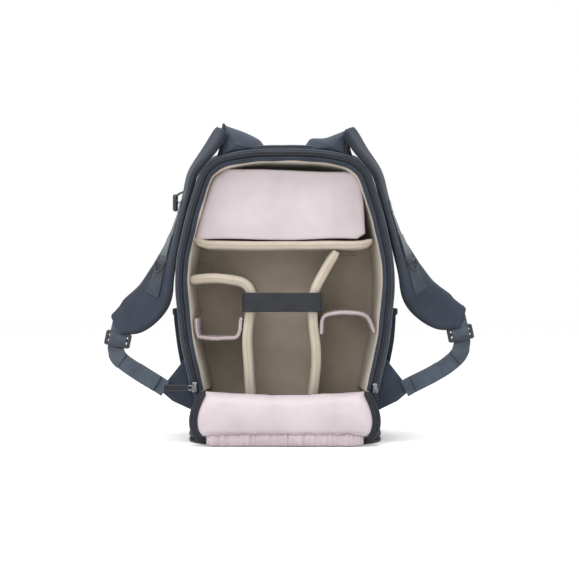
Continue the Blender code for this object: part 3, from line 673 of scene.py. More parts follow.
# %% Pink flap
FLAP_ROOM = 0.0172  # from the outline to the flap's left edge
u0, u1 = u_at(0.401, FLAP_ROOM), u_at(0.3005, FLAP_ROOM)
left_edge = [outline_point(u0 + (u1 - u0) * k / 12, FLAP_ROOM) for k in range(13)]
flap_line = [Vector((-p.x, p.y)) for p in left_edge]
flap_corners = [
    (-0.127, 0.3003), (0.1185, 0.3003), (0.1160, 0.3500), (0.1130, 0.3830), (0.1020, 0.4000), (-0.0960, 0.4050),
]  # fmt: skip
for a, b in zip(flap_corners, flap_corners[1:]):
    steps = 20 if abs(b[0] - a[0]) > 0.05 else 6
    flap_line += [Vector(a).lerp(Vector(b), k / steps) for k in range(1, steps)]
rings = cushion(flap_line, INSIDE_Y - 0.0010, INSIDE_Y + 0.0055, 0.0035, 0.0030, rings=12, sway=0.0022, seed=21)
flap = make_piece("upper_flap_satin", rings, PINK, "flap", ["upper_flap"])

# %% [markdown]
# ## Dividers
# Two tall foam dividers bow round the long lens bay and bend away at their tops, one to the left wall and one up to
# the shelf. Each is a strip of foam in brushed cloth with a fat rounded front edge, so a flattened oval is carried
# along its curve. The two small dividers are thin gathered satin.

# %% Tall and small dividers


def strip_rings(run, width, y0, y1, puff=0.0008, sway=0.0008, seed=0.0, gather=0.0, taper=True):
    """Rings of a padded strip that follows a run of (x, z) places, its faces towards the compartments."""
    rings = []
    for i, here in enumerate(run):
        along = step_at(run, i)
        across = Vector((-along.y, along.x)).normalized()
        end = min(i, len(run) - 1 - i)
        half = width / 2 * (0.72 if taper and end == 0 else 0.92 if taper and end == 1 else 1.0)
        section = soft_box(-half, half, y0, y1, half * 0.98, puff, 5, (7, 1))
        ruffle = gather * math.sin(i * 2.1) * 0.6 + gather * math.sin(i * 3.7 + 1) * 0.4
        ring = []
        for a, y in section:
            p = here + across * (a + ruffle)
            ring.append(stray(Vector((p.x, y, p.y)), sway, 30, seed))
        rings.append(ring)
    return rings


FLOOR_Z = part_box("lining_floor")[1].z + 0.001
wall_x = side_x(0.2405, LINING) - 0.0015
left_run = through([Vector(p) for p in [
    (-0.0500, FLOOR_Z), (-0.0545, 0.110), (-0.0565, 0.156), (-0.0525, 0.193), (-0.0500, 0.216),
    (-0.0600, 0.2345), (-0.0870, 0.2415), (-0.118, 0.2425), (-wall_x, 0.2400)]], 6)  # fmt: skip
right_run = through([Vector(p) for p in [
    (0.038, FLOOR_Z), (0.0445, 0.090), (0.0465, 0.130), (0.0420, 0.178), (0.0425, 0.218), (0.0560, 0.2480),
    (0.0760, 0.2820)]], 6)  # fmt: skip
for side, run in (("left", left_run), ("right", right_run)):
    rings = strip_rings(run, 0.0135, INSIDE_Y - 0.0015, DEEP_Y - 0.0005, 0.0006, 0.0010, 31 + len(run))
    piece = make_piece(f"tall_divider_{side}", rings, BEIGE, "bag", [f"divider_{side}"])
small_runs = {
    "left": [(-0.1320, 0.184), (-0.1300, 0.1590), (-0.122, 0.1545), (-0.090, 0.1540), (-0.0705, 0.1565),
             (-0.0650, 0.184)],
    "right": [(0.0535, 0.160), (0.0555, 0.1830), (0.068, 0.1905), (0.096, 0.1915), (0.121, 0.1860),
              (0.1335, 0.163)],
}  # fmt: skip
for side, points in small_runs.items():
    run = through([Vector(p) for p in points], 12)
    rings = strip_rings(run, 0.0050, INSIDE_Y + 0.002, DEEP_Y - 0.004, 0.0008, 0.0016, 41, gather=0.0006)
    body = {"left": "small_divider_l", "right": "small_divider_r"}[side]
    solid = f"small_divider_{side}"
    piece = make_piece(f"{solid}_satin", rings, PINK_THIN, body, [solid])

# hook patches where the tall dividers hold to the lining
tab_z = (0.2430, 0.2660)
for sign, x0, x1 in ((-1, -wall_x + 0.004, -0.112), (1, 0.0835, 0.1080)):
    z0, z1 = tab_z if sign < 0 else (0.2790, 0.2855)
    run = [Vector((x0, DEEP_Y - 0.002, z0)), Vector((x1, DEEP_Y - 0.002, z0)), Vector((x1, DEEP_Y - 0.002, z1)),
           Vector((x0, DEEP_Y - 0.002, z1)), Vector((x0, DEEP_Y - 0.002, z0))]  # fmt: skip
    stitches(f"tab_stitch_{'left' if sign < 0 else 'right'}", run, [TO_VIEWER] * 4, BEIGE_THREAD, "bag")
print("dividers done")

# %% [markdown]
# ## Lens band
# A dark webbing band holds the long lens. It wraps both tall dividers and its right end hooks off. Webbing is flat,
# so it is a thin rounded ribbon, with UVs along it for the ribs.

# %% Ribbons and the lens band


def ribbon_rings(middle, wides, width, thick, curl=0.0):
    """Rings of a flat band: wides are its width directions; curl lifts its edges by that much."""
    rings = []
    for i, here in enumerate(middle):
        step = step_at(middle, i)
        wide = wides[i].normalized()
        face = wide.cross(step).normalized()
        w = width[i] if isinstance(width, (list, tuple)) else width
        section = soft_box(-w / 2, w / 2, -thick / 2, thick / 2, thick * 0.45, 0.0, 2, (0, 7))
        rings.append([here + wide * a + face * (b + curl * (2 * a / w) ** 2) for a, b in section])
    return rings


band_low, band_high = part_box("lens_strap")
band_z = (band_low.z + band_high.z) / 2
face_y = band_low.y + 0.0013
BAND_FACE = [(-0.0600, 0.0), (-0.0300, -0.0006), (0.0, -0.0012), (0.0300, -0.0006), (0.0500, 0.0), (0.0535, 0.003),
             (0.0538, 0.012)]  # fmt: skip
path = [Vector((x, face_y + y, band_z)) for x, y in BAND_FACE] + [Vector((0.0535, band_high.y - 0.001, band_z))]
path = through(path, 5)
up = [Vector((0, 0, 1))] * len(path)
make_piece("lens_band", ribbon_rings(path, up, 0.0285, 0.0024), BAND, "lens_band", ["lens_strap"])
BAND_ANCHOR = [(-0.0600, 0.0012), (-0.0622, 0.003), (-0.0630, 0.012), (-0.0630, 0.032)]
path = through([Vector((x, face_y + y, band_z)) for x, y in BAND_ANCHOR], 5)
up = [Vector((0, 0, 1))] * len(path)
rings = ribbon_rings(path, up, 0.0283, 0.0020)
make_piece("lens_band_anchor", rings, BAND, "bag", ["lens_strap_anchor"])

# %% [markdown]
# ## Back panel
# The panel is unzipped on three sides and still joined along the bottom of the opening. Its lower part rolls
# forward as a full pink pad, with the panel's own zip tape down both sides. The rest is folded back under the bag,
# and the gathered pocket on it shows as a frilled band along the floor.

# %% The roll in front
MID_Y = -0.100
FOLD_Y, FOLD_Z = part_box("door_fold_roll")[0].y + 0.0087, 0.009
LEAN = math.radians(15)
down = Vector((0, -math.sin(LEAN), -math.cos(LEAN)))
out = Vector((0, -math.cos(LEAN), math.sin(LEAN)))
hinge_line = Vector((0, MID_Y, HINGE_Z))
drop = (HINGE_Z - FOLD_Z) / math.cos(LEAN)


def panel_half(s, inset):
    """Half width of the rolled panel at distance s below the hinge line: bowed out at mid height, drawn in below."""
    t = max(0.0, min(1.15, s / drop))
    return 0.1245 + 0.0125 * math.sin(math.pi * min(1.0, t * 0.82 + 0.02)) - 0.004 * max(0.0, t - 0.8) / 0.35 - inset


BARREL = [
    (-0.0950, 0.0690), (-0.0975, 0.0755), (-0.1050, 0.0782), (-0.1160, 0.0752), (-0.1262, 0.0650), (-0.1318, 0.0500),
    (-0.1325, 0.0350), (-0.1290, 0.0235), (-0.1230, 0.0165), (-0.1175, 0.0155), (-0.1125, 0.0300), (-0.1065, 0.0500),
]  # fmt: skip
barrel = through([Vector(p) for p in [*BARREL, BARREL[0]]], 4)[:-1]
rings = []
count = 72
for k in range(count + 1):
    t = 2 * k / count - 1
    crown = math.sqrt(max(0.0, 1 - max(0.0, (abs(t) - 0.93) / 0.07) ** 2))
    shape = []
    for y, z in barrel:
        s = (HINGE_Z - z) / math.cos(LEAN)
        half = panel_half(max(0.0, s), 0.0100)
        back = hinge_line.y - (HINGE_Z - z) * math.tan(LEAN) + 0.001
        depth = back + (y - back) * (0.30 + 0.70 * crown) if y < back else y
        sag = 0.0048 * math.cos(t * math.pi / 2) * max(0.0, (z - 0.030) / 0.047)
        pucker = 0.0009 * noise.noise(Vector((t * 9, z * 60, 2.0)))
        pucker += 0.0012 * noise.noise(Vector((t * 3.5, z * 25, 7.0)))
        shape.append(Vector((t * half, depth + pucker, z - sag + pucker * 0.5)))
    rings.append(shape)
roll_nodes = ["door_lower_lining", "door_lower_board", "door_hinge_roll"]
pad = make_piece("panel_roll_pad", rings, PINK, "door_lower", roll_nodes)

for side, sign in SIDES.items():
    rings = []
    steps = 22
    for k in range(steps + 1):
        t = k / steps
        s = -0.004 + (drop + 0.0075) * t
        half = panel_half(max(0.0, s), 0.0)
        n = 0.0030 + 0.0055 * math.sin(math.pi * min(1.0, t * 1.02)) ** 0.7
        curl = -0.0075 * max(0.0, (t - 0.86) / 0.14) ** 2
        centre = hinge_line + down * s + out * (n + curl)
        width = 0.0062 * (0.55 + 0.45 * math.sqrt(max(0.0, 1 - (2 * t - 1) ** 8)))
        x = sign * (half - 0.0055)
        ring = []
        for a, b in soft_box(-width, width, -0.0035, 0.0035, 0.0032, 0.0006, 4, (1, 3)):
            ring.append(centre + Vector((x - centre.x + a, 0, 0)) + out * b)
        rings.append(ring)
    make_piece(f"panel_lower_tape_{side}", rings, TAPE, "door_lower", [f"door_lower_tape_{side}"])
    run = [sum(ring, Vector()) / len(ring) for ring in rings]
    run = [p + out * 0.0036 + Vector((sign * 0.0035, 0, 0)) for p in run]
    zip_teeth(f"panel_lower_teeth_{side}", run, [out] * len(run), "door_lower")
    inner = [p - Vector((sign * 0.0080, 0, 0)) for p in run]
    stitches(f"panel_tape_stitch_{side}", inner[2:-2], [out] * len(inner), THREAD, "door_lower")

# %% The gathered band at the floor fold
fold = Vector((0, FOLD_Y, FOLD_Z))
rings = []
count = 150
for k in range(count + 1):
    t = 2 * k / count - 1
    half = panel_half(drop, 0.0105) - 0.005
    frill = 0.0032 * noise.noise(Vector((t * 26, 0.5, 3.0))) + 0.0006 * math.sin(t * 95 + 3 * math.sin(t * 13))
    edge = math.sqrt(max(0.0, 1 - abs(t) ** 14))
    ring = []
    for q in range(15):
        turn = math.radians(152 - 150 * q / 14)
        wave = frill * math.sin(math.pi * q / 14) + 0.0006 * noise.noise(Vector((t * 60, q * 0.35, 8.0)))
        radius = (0.0104 + 0.0026 * math.sin(math.pi * q / 14) + wave) * (0.45 + 0.55 * edge)
        ring.append(fold + Vector((t * half, -math.sin(turn) * radius, math.cos(math.pi - turn) * -radius)))
    for q in range(14, -1, -1):
        turn = math.radians(152 - 150 * q / 14)
        ring.append(fold + Vector((t * half, -math.sin(turn) * 0.0078, math.cos(math.pi - turn) * -0.0078)))
    for p in ring:
        p.z = max(p.z, 0.0002)
    rings.append(ring)
frill = make_piece("pocket_frill", rings, PINK_THIN, None, ["door_fold_roll"])
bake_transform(frill)
half = panel_half(drop, 0.0105) - 0.006
seam = [Vector((half * (2 * k / 60 - 1), -0.1289, 0.0212)) for k in range(61)]
stitches("panel_seam", seam, [out] * 60, PINK_THREAD, "door_lower", pitch=0.0042, length=0.0028)
print("roll done")

# %% The part folded under the bag
TUCK_SHARE = 0.965  # the gathered panel is a little narrower than the flat one


def tucked(z, n):
    """Where a place of the closed panel lies when folded under: z is its height, n its distance to the inside."""
    return FOLD_Y + (z - HINGE_Z - drop), FOLD_Z - n


def lay_under(rings):
    """Turns rings drawn on the closed panel, with y as the distance n, to where the panel lies folded under."""
    for ring in rings:
        for p in ring:
            p.x *= TUCK_SHARE
            y, z = tucked(p.z, p.y)
            p.y, p.z = y, max(z, 0.0001)
    return rings


fold_start = HINGE_Z + drop + 0.0108
EASE_REACH, EASE_SHARE = 0.060, 0.24


def eased_share(z):
    """How much of its width the folded panel keeps at height z: the two corners next to the floor fold are round."""
    t = max(0.0, 1 - (z - fold_start) / EASE_REACH)
    return 1 - EASE_SHARE * t * t


def eased(points):
    return [Vector((p.x * eased_share(p.y), p.y)) for p in points]


full = eased([p for p in whole_outline(0.0085, 5) if p.y > fold_start])
rings = lay_under(cushion(full, 0.0043, -0.0080, 0.005, 0.0, rings=6, sway=0.0004, seed=3))
panel_board = make_piece("panel_board_cloth", rings, NAVY, "door_upper", ["door_board"])
inner = [p for p in whole_outline(0.0200, 5) if p.y > 0.300]
rings = lay_under(cushion(inner, 0.0088, 0.0050, 0.002, 0.0, rings=6))
make_piece("panel_lining_satin", rings, PINK, "door_upper", ["door_lining"])
inner = eased([p for p in whole_outline(0.0200, 5) if fold_start + 0.001 < p.y < 0.299])
rings = lay_under(cushion(inner, 0.0088, 0.0050, 0.002, 0.0, rings=6, sway=0.0003))
make_piece("panel_pocket_satin", rings, PINK_THIN, "door_upper", ["door_pocket"])
u = u_at(fold_start, 0.0085)
strip = soft_box(0.0087, 0.0192, 0.0050, 0.0088, 0.0015, 0.0, 3, (1, 3))
rings = along_outline(strip, -u, u, 0.14)
for ring in rings:
    for p in ring:
        p.x *= eased_share(p.z)
rings = lay_under(rings)
make_piece("panel_zip_tape", rings, TAPE, "door_upper", ["door_tape"])
for side, sign in SIDES.items():
    shape = [(0.016, 0.160), (0.118, 0.160), (0.123, 0.235), (0.116, 0.320), (0.092, 0.385), (0.016, 0.395)]
    loop = []
    for i, p in enumerate(shape):
        q = shape[(i + 1) % len(shape)]
        loop += [Vector((sign * (p[0] + (q[0] - p[0]) * k / 8), p[1] + (q[1] - p[1]) * k / 8)) for k in range(8)]
    rings = lay_under(cushion(loop, -0.0162, -0.0084, 0.006, 0.0, rings=6, sway=0.0004))
    piece = make_piece(f"back_pad_{side}_mesh", rings, MESH, "door_upper", [f"back_pad_{side}"])
print("back panel done")

# %% [markdown]
# ## Shoulder straps
# Each strap is a foam pad in cloth with a bound edge. It leaves a ridge at the top of the opening, runs edge-on down
# the side and turns its face to the viewer lower down. A row of stations gives its middle line, twist and width; the
# section is fuller in the middle than at the bound edges.

# %% Strap pads
STRAP = [
    ((-0.0985, -0.072, 0.4520), 24, 0.044), ((-0.1110, -0.067, 0.4330), 20, 0.050),
    ((-0.1355, -0.060, 0.4000), 12, 0.056), ((-0.1455, -0.054, 0.3650), 10, 0.056),
    ((-0.1550, -0.050, 0.3300), 11, 0.056), ((-0.1695, -0.045, 0.2880), 22, 0.056),
    ((-0.1835, -0.043, 0.2500), 43, 0.055), ((-0.1985, -0.041, 0.2130), 70, 0.057),
    ((-0.2250, -0.037, 0.1880), 80, 0.054), ((-0.2455, -0.035, 0.1760), 82, 0.036),
]  # fmt: skip
RIGHT_REACH, RIGHT_LIFT = 0.012, 0.009  # the right strap ends a little further out and up


def strap_frames(side, per=8):
    """Middle line, width direction, outer direction and width along one shoulder strap."""
    sign = SIDES[side]
    middle, twists, widths = [], [], []
    for i, (place, twist, width) in enumerate(STRAP):
        t = i / (len(STRAP) - 1)
        more = t**3 if sign > 0 else 0.0
        middle.append(Vector((sign * (abs(place[0]) + RIGHT_REACH * more), place[1], place[2] + RIGHT_LIFT * more)))
        twists.append(math.radians(twist))
        widths.append(width)
    middle, twists, widths = through(middle, per), through(twists, per), through(widths, per)
    frames = []
    for i, here in enumerate(middle):
        along = step_at(middle, i)
        flat = Vector((along.x, 0, along.z)).normalized()
        outwards = Vector((-sign * flat.z, 0, sign * flat.x))
        turn = math.cos(twists[i]), math.sin(twists[i])
        across = Vector((0, 1, 0)) * turn[0] + outwards * turn[1]
        face = outwards * turn[0] - Vector((0, 1, 0)) * turn[1]
        frames.append((here, across, face, widths[i]))
    return frames


def pad_section(width, thick):
    """A strap's section: crowned foam between two thin bound edges."""
    half = width / 2
    loop = []
    for s in (1, -1):
        for k in range(17):
            a = s * (half - (width * k / 16))
            edge = (half - abs(a)) / half
            rise = thick / 2 * (0.42 + 0.58 * min(1.0, edge / 0.16) ** 0.7) if edge > 0.06 else thick * 0.24
            loop.append((a, s * rise))
    return loop


for side, sign in SIDES.items():
    body = {"left": "strap_l", "right": "strap_r"}[side]
    frames = strap_frames(side)
    c, a, o, w = frames[0]
    uphill = (frames[0][0] - frames[2][0]).normalized()
    for reach, narrow in ((0.005, 0.94), (0.009, 0.80), (0.011, 0.62)):
        frames.insert(0, (c + uphill * reach - Vector((0, 0.3, 0)) * reach, a, o, w * narrow))
    c, a, o, w = frames[-1]
    downhill = (frames[-1][0] - frames[-3][0]).normalized()
    for reach, narrow in ((0.004, 0.96), (0.008, 0.85), (0.0095, 0.70)):
        frames.append((c + downhill * reach, a, o, w * narrow))
    rings = []
    for i, (c, a, o, w) in enumerate(frames):
        ring = [stray(c + a * p + o * q, 0.0009, 26, 50) for p, q in pad_section(w, 0.0112)]
        rings.append(ring)
    pad = make_piece(f"strap_pad_{side}_cloth", rings, NAVY, body, [f"strap_pad_{side}"])
    for edge in (-1, 1):
        middle = [c + a * edge * (w / 2 - 0.0004) for c, a, o, w in frames]
        rings = []
        for (c, a, o, w), here in zip(frames, middle):
            rings.append([here + a * p + o * q for p, q in round_section(0, 0, 0.0026, 10)])
        make_piece(f"strap_binding_{side}_{'outer' if edge > 0 else 'inner'}", rings, TAPE, body, ())
        lines = [c + a * edge * (w / 2 - 0.0078) + o * 0.0050 for c, a, o, w in frames]
        stitches(f"strap_stitch_{side}_{'outer' if edge > 0 else 'inner'}", lines[8:], [f[2] for f in frames[8:]],
                 THREAD, body)  # fmt: skip

# %% [markdown]
# ## Webbing on the straps
# A flat webbing is sewn down the middle of each strap in a row of short loops, with dense bars of stitching between
# them. A D-ring hangs on it, and lighter patches show where the webbing is doubled.

# %% Daisy chain, bars and rings
BARS = [30, 38, 46, 54]
for side, sign in SIDES.items():
    body = {"left": "strap_l", "right": "strap_r"}[side]
    frames = strap_frames(side)
    chain = frames[26:56]
    middle, wides = [], []
    for i, (c, a, o, w) in enumerate(chain):
        loose = 0.0007 * abs(math.sin(math.pi * ((i + 26 - BARS[0]) / 8)))
        middle.append(c + o * (0.0060 + loose))
        wides.append(a)
    rings = ribbon_rings(middle, wides, 0.0225, 0.0018)
    make_piece(f"daisy_webbing_{side}", rings, DARK_WEBBING, body, [f"strap_webbing_{side}"])
    for n, k in enumerate(BARS):
        c, a, o, w = frames[k]
        near = frames[k + 1][0] - c
        for j in range(3):
            start = c + o * 0.0073 + near.normalized() * (j - 1) * 0.0009
            line = [start + a * (-0.0108 + 0.0216 * q / 10) for q in range(11)]
            stitches(f"bar_{side}_{n}_{j}", line, [o] * 10, THREAD, body, 0.0014, 0.0011, 0.0004)
    # the doubled patch above the ring
    patch = [frames[k][0] + frames[k][2] * 0.0078 for k in range(37, 44)]
    rings = ribbon_rings(patch, [frames[k][1] for k in range(37, 44)], 0.024, 0.0016)
    make_piece(f"ring_loop_{side}", rings, WEBBING, body, ())
    # D-ring: a straight bar and a bow of round wire
    c, a, o, w = frames[45]
    along = (frames[48][0] - c).normalized()
    base = c + o * 0.0098
    loop = [base + a * 0.0125 * x for x in (-1, -0.5, 0, 0.5, 1)]
    for k in range(1, 14):
        turn = math.pi * k / 14
        loop.append(base + a * 0.0125 * math.cos(turn) + along * 0.0150 * math.sin(turn))
    rings = swept(loop, o, round_section(0, 0, 0.0014, 8), closed=True)
    make_piece(f"d_ring_{side}_wire", rings, PLASTIC, body, [f"d_ring_{side}"], wrap=True)
print("straps done")

# %% [markdown]
# ## Ladder buckles and lower webbing
# Below each strap a moulded ladder buckle takes the lower webbing, which runs down to a triangle of cloth at the
# bag's foot. The buckle is a frame with two slots and a raised bar. The webbing is a ribbon that turns as it leaves.

# %% Buckles and webbing
LOWER_RUN = {
    "left": [(-0.2450, 0.1215), (-0.2160, 0.1030), (-0.1860, 0.0855)],
    "right": [(0.2560, 0.1260), (0.2250, 0.1040), (0.1860, 0.0850)],
}
WING_Y = -0.064  # middle of the cloth wings
BUCKLE_DROP = 0.0262  # from the strap pad's end to the buckle's middle
for side, sign in SIDES.items():
    body = {"left": "strap_l", "right": "strap_r"}[side]
    end, _, _, width = strap_frames(side)[-1]
    along = Vector((sign * 0.20, 0, -0.98)).normalized()
    across = Vector((-sign * along.z, 0, sign * along.x))
    face = TO_VIEWER
    centre = end + along * BUCKLE_DROP
    bars = [(-0.0095, 0.0042, 0.0044), (-0.0015, 0.0034, 0.0036), (0.0072, 0.0040, 0.0046)]
    for n, (place, tall, thick) in enumerate(bars):
        rings = []
        for k in range(9):
            t = k / 8 * 2 - 1
            swell = 1 + 0.18 * (1 - t * t)
            here = centre + across * t * width / 2 * 0.98 + along * place
            reach = tall * swell / 2 + 0.0008
            section = soft_box(-reach, reach, -thick / 2, thick / 2, 0.0012, 0, 3, (0, 0))
            rings.append([here + along * a + face * b for a, b in section])
        nodes = [f"ladder_buckle_{side}"] if n == 0 else ()
        make_piece(f"buckle_bar_{side}_{n}", rings, PLASTIC, body, nodes)
    for edge in (-1, 1):
        rings = []
        for k in range(9):
            t = k / 8
            here = centre + across * edge * (width / 2 - 0.0010) + along * (-0.0108 + 0.0196 * t)
            thick = 0.0055 + 0.0015 * math.sin(math.pi * t)
            section = soft_box(-0.0024, 0.0024, -thick / 2, thick / 2, 0.0016, 0, 3, (0, 0))
            rings.append([here + across * a + face * b for a, b in section])
        make_piece(f"buckle_side_{side}_{'a' if edge < 0 else 'b'}", rings, PLASTIC, body, ())
    # short webbing from the strap's end up into the buckle
    stub = [end + along * d + face * h for d, h in ((-0.002, 0), (0.006, 0.001), (0.0120, 0.0034), (0.0185, 0))]
    rings = ribbon_rings(through(stub, 4), [across] * 13, 0.0265, 0.0022)
    make_piece(f"strap_stub_{side}", rings, WEBBING, body, ())
    over = ((-0.0120, 0.001), (-0.0060, 0.0030), (0.0, 0.0034), (0.0060, 0.0012), (0.0100, -0.001))
    fold = [centre + along * d + face * h for d, h in over]
    rings = ribbon_rings(through(fold, 4), [across] * 17, 0.0262, 0.0020)
    make_piece(f"buckle_fold_{side}", rings, WEBBING, body, ())
    first = centre + along * 0.0030
    bend = centre + along * 0.0140
    run = [first, bend]
    for k, (x, z) in enumerate(LOWER_RUN[side]):
        t = (k + 1) / 3
        run.append(Vector((x, bend.y + (WING_Y - 0.0046 - bend.y) * t, z)))
    run.append(run[-1] + (run[-1] - run[-2]).normalized() * 0.012)
    run = through(run, 9)
    wides = []
    for i, here in enumerate(run):
        step = step_at(run, i)
        wide = Vector((-step.z, 0, step.x)).normalized()
        wide = -wide if wide.dot(across) < 0 else wide
        wides.append(across.lerp(wide, min(1.0, i / 12)).normalized())
    rings = ribbon_rings(run, wides, 0.0250, 0.0018, curl=0.0004)
    rings = [[stray(p, 0.0012, 22, 60) for p in ring] for ring in rings]
    make_piece(f"lower_webbing_{side}_band", rings, WEBBING, body, [f"lower_webbing_{side}"])
    # doubled stretch near the buckle with its bar of stitching
    double = [p + Vector((0, -0.0024, 0)) for p in run[12:20]]
    rings = ribbon_rings(double, wides[12:20], 0.0256, 0.0020)
    make_piece(f"webbing_double_{side}", rings, WEBBING, body, ())
    tail = [p + Vector((0, -0.0030, 0.0004)) for p in run[26:36]]
    rings = ribbon_rings(tail, wides[26:36], 0.0252, 0.0026)
    make_piece(f"webbing_tail_{side}", rings, WEBBING, body, ())
    for j in (0, 1, 6):
        line = [double[j] + Vector((0, -0.0012, 0)) + wides[12 + j] * (-0.0115 + 0.023 * q / 10) for q in range(11)]
        stitches(f"webbing_bar_{side}_{j}", line, [TO_VIEWER] * 10, THREAD, body, 0.0015, 0.0012, 0.0004)
print("buckles done")

# %% Wings, roots, shoulders and handle


RIDGE_Z = {"left": 0.4685, "right": 0.4600}  # top of each strap root
YOKE_FROM, YOKE_TO = 1.65, 6.5  # where the shoulder yoke runs along the outline


def flat_loop(points, per=6):
    """A closed outline through the given corners with straight sides, for a cushion's rim."""
    loop = []
    for i, p in enumerate(points):
        q = points[(i + 1) % len(points)]
        loop += [Vector(p).lerp(Vector(q), k / per) for k in range(per)]
    return loop


for side, sign in SIDES.items():
    u0, u1 = u_at(0.1290), u_at(0.0400)
    run = [outline_point(u0 + (u1 - u0) * k / 8, 0.0010) for k in range(9)]
    run += [Vector((0.1660, 0.0610)), Vector((0.1850, 0.0775))]
    corners = [Vector((sign * p.x, p.y)) for p in run]
    rings = cushion(flat_loop(corners, 4), WING_Y - 0.0036, WING_Y + 0.0030, 0.0022, 0.0012, rings=6,
                    sway=0.0014, seed=61)  # fmt: skip
    make_piece(f"wing_{side}_cloth", rings, NAVY, "bag", [f"wing_{side}"])
    edge = [Vector((sign * 0.1800, WING_Y - 0.0052, 0.0790)), Vector((sign * 0.1640, WING_Y - 0.0056, 0.0660))]
    line = [edge[0].lerp(edge[1], k / 8) for k in range(9)]
    stitches(f"wing_stitch_{side}", line, [TO_VIEWER] * 8, THREAD, "bag")

    ridge = RIDGE_Z[side]
    base = [outline_point(u, 0.0) for u in (2.55, 2.2, 1.9, 1.6, 1.2, 0.8, 0.5)]
    crest = [(0.033, 0.4420), (0.040, 0.4490), (0.060, ridge - 0.0100), (0.080, ridge - 0.0030), (0.0915, ridge),
             (0.0945, ridge - 0.014), (0.0975, 0.4350)]  # fmt: skip
    corners = [Vector((sign * x, z)) for x, z in base + crest]
    loop = through([*corners, corners[0]], 5)[:-1]
    rings = cushion(loop, -0.0812, -0.0470, 0.0100, 0.0030, rings=10, sway=0.0016, seed=70 + sign)
    # the root pad takes the lighter navy: painted light from above
    root = make_piece(f"strap_root_{side}_pad", rings, NAVY_TOP_PAINTED_LIGHT, "bag", [f"strap_root_{side}"])
    # the bound ridge where root and strap are sewn together
    seam = [(0.0895, -0.0838, -0.034), (0.0915, -0.0836, -0.016), (0.0905, -0.0800, -0.0015),
            (0.0900, -0.062, 0.0005), (0.0900, -0.050, -0.004)]  # fmt: skip
    seam = through([Vector((sign * x, y, ridge + z)) for x, y, z in seam], 6)
    rings = []
    for i, here in enumerate(seam):
        step = step_at(seam, i).normalized()
        side_way = step.cross(Vector((sign, 0, 0.2))).normalized()
        other = step.cross(side_way)
        rings.append([here + side_way * p + other * q for p, q in round_section(0, 0, 0.0017, 10)])
    make_piece(f"root_binding_{side}", rings, TAPE, "bag", ())

    u0, u1 = YOKE_FROM, YOKE_TO
    section = soft_box(-0.0130, 0.0010, -0.020, 0.006, 0.0060, 0.0010, 4, (5, 2))
    count = 44
    rings = []
    for k in range(count + 1):
        t = k / count
        swell = min(1.05, 0.70 + 2.3 * t) if t < 0.2 else 1.05 - 0.75 * (t - 0.2) / 0.8
        grown = [(0.001 + (inset - 0.001) * swell, y) for inset, y in section]
        rings.append(outline_ring(u0 + (u1 - u0) * t, grown, 0.0012, 20, 80, sign))
    # the shoulder yoke takes the lighter navy: painted light from above
    make_piece(f"shoulder_{side}_cloth", rings, NAVY_TOP_PAINTED_LIGHT, "bag", [f"shoulder_{side}"])

# ribbed band sewn along the top between the two roots
for n in range(3):
    a0, a1 = -0.0034 - 0.0029 * n, -0.0008 - 0.0029 * n
    section = soft_box(a0, a1, -0.0800 + 0.0015 * n, -0.0500, 0.0012, 0.0002, 3, (4, 0))
    rings = along_outline(section, -0.78, 0.78, 0.05, 0.0004, 60, n)
    make_piece(f"top_band_{n}", rings, DARK_WEBBING, "bag", ())

low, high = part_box("grab_handle")
arc = []
wide = []
for k in range(25):
    turn = math.pi * k / 24
    arc.append(Vector((0.038 * math.cos(turn), -0.034 + 0.043 * math.sin(turn), (low.z + high.z) / 2 + 0.0006)))
    wide.append(Vector((math.cos(turn), 1.1 * math.sin(turn), 0)))
rings = ribbon_rings(arc, wide, 0.0160, 0.0045)
make_piece("grab_handle_webbing", rings, WEBBING, "handle", ["grab_handle"])

# %% [markdown]
# ## Low side pockets, clip, feet and sliders
# The side pockets are thin cloth with an elastic hem. The clip, feet, sliders and pulls are small hard or moulded
# pieces; the sliders are built from a body, a bridge and a pull.

# %% Side pockets
SIDE_POCKET_FOOT, SIDE_POCKET_TOP = 0.062, 0.195
for side, sign in SIDES.items():
    u0, u1 = u_at(SIDE_POCKET_TOP), u_at(SIDE_POCKET_FOOT)
    section = [(-0.0140, -0.041), (-0.0147, -0.020), (-0.0150, 0.000), (-0.0147, 0.022), (-0.0140, 0.043),
               (-0.0004, 0.0435), (-0.0004, 0.0418), (-0.0120, 0.0412), (-0.0128, 0.000), (-0.0120, -0.0392),
               (-0.0004, -0.0398), (-0.0004, -0.0415)]  # fmt: skip
    count = 40
    rings = []
    for k in range(count + 1):
        t = k / count
        hem = 0.0008 * math.sin(k * 1.9) if t < 0.06 else 0.0
        squeeze = 1.0 - 0.16 * (1 - t) - 0.75 * max(0.0, (t - 0.93) / 0.07)
        squeezed = [(inset * squeeze - hem, y) for inset, y in section]
        rings.append(outline_ring(u0 + (u1 - u0) * t, squeezed, 0.0009, 24, 90, sign))
    make_piece(f"side_pocket_{side}_cloth", rings, MESH, "bag", [f"side_pocket_{side}"])
    hem = [(-0.0006, -0.0425), (-0.0100, -0.0425), (-0.0128, -0.030), (-0.0132, 0.0), (-0.0128, 0.032),
           (-0.0100, 0.0445), (-0.0006, 0.0445)]  # fmt: skip
    hem_line = through(outline_ring(u0, hem, sign=sign), 5)
    rings = swept(hem_line, Vector((0, 0, 1)), soft_box(-0.0014, 0.0014, -0.005, 0.004, 0.0012, 0, 3, (1, 1)))
    make_piece(f"side_pocket_hem_{side}", rings, TAPE, "bag", ())


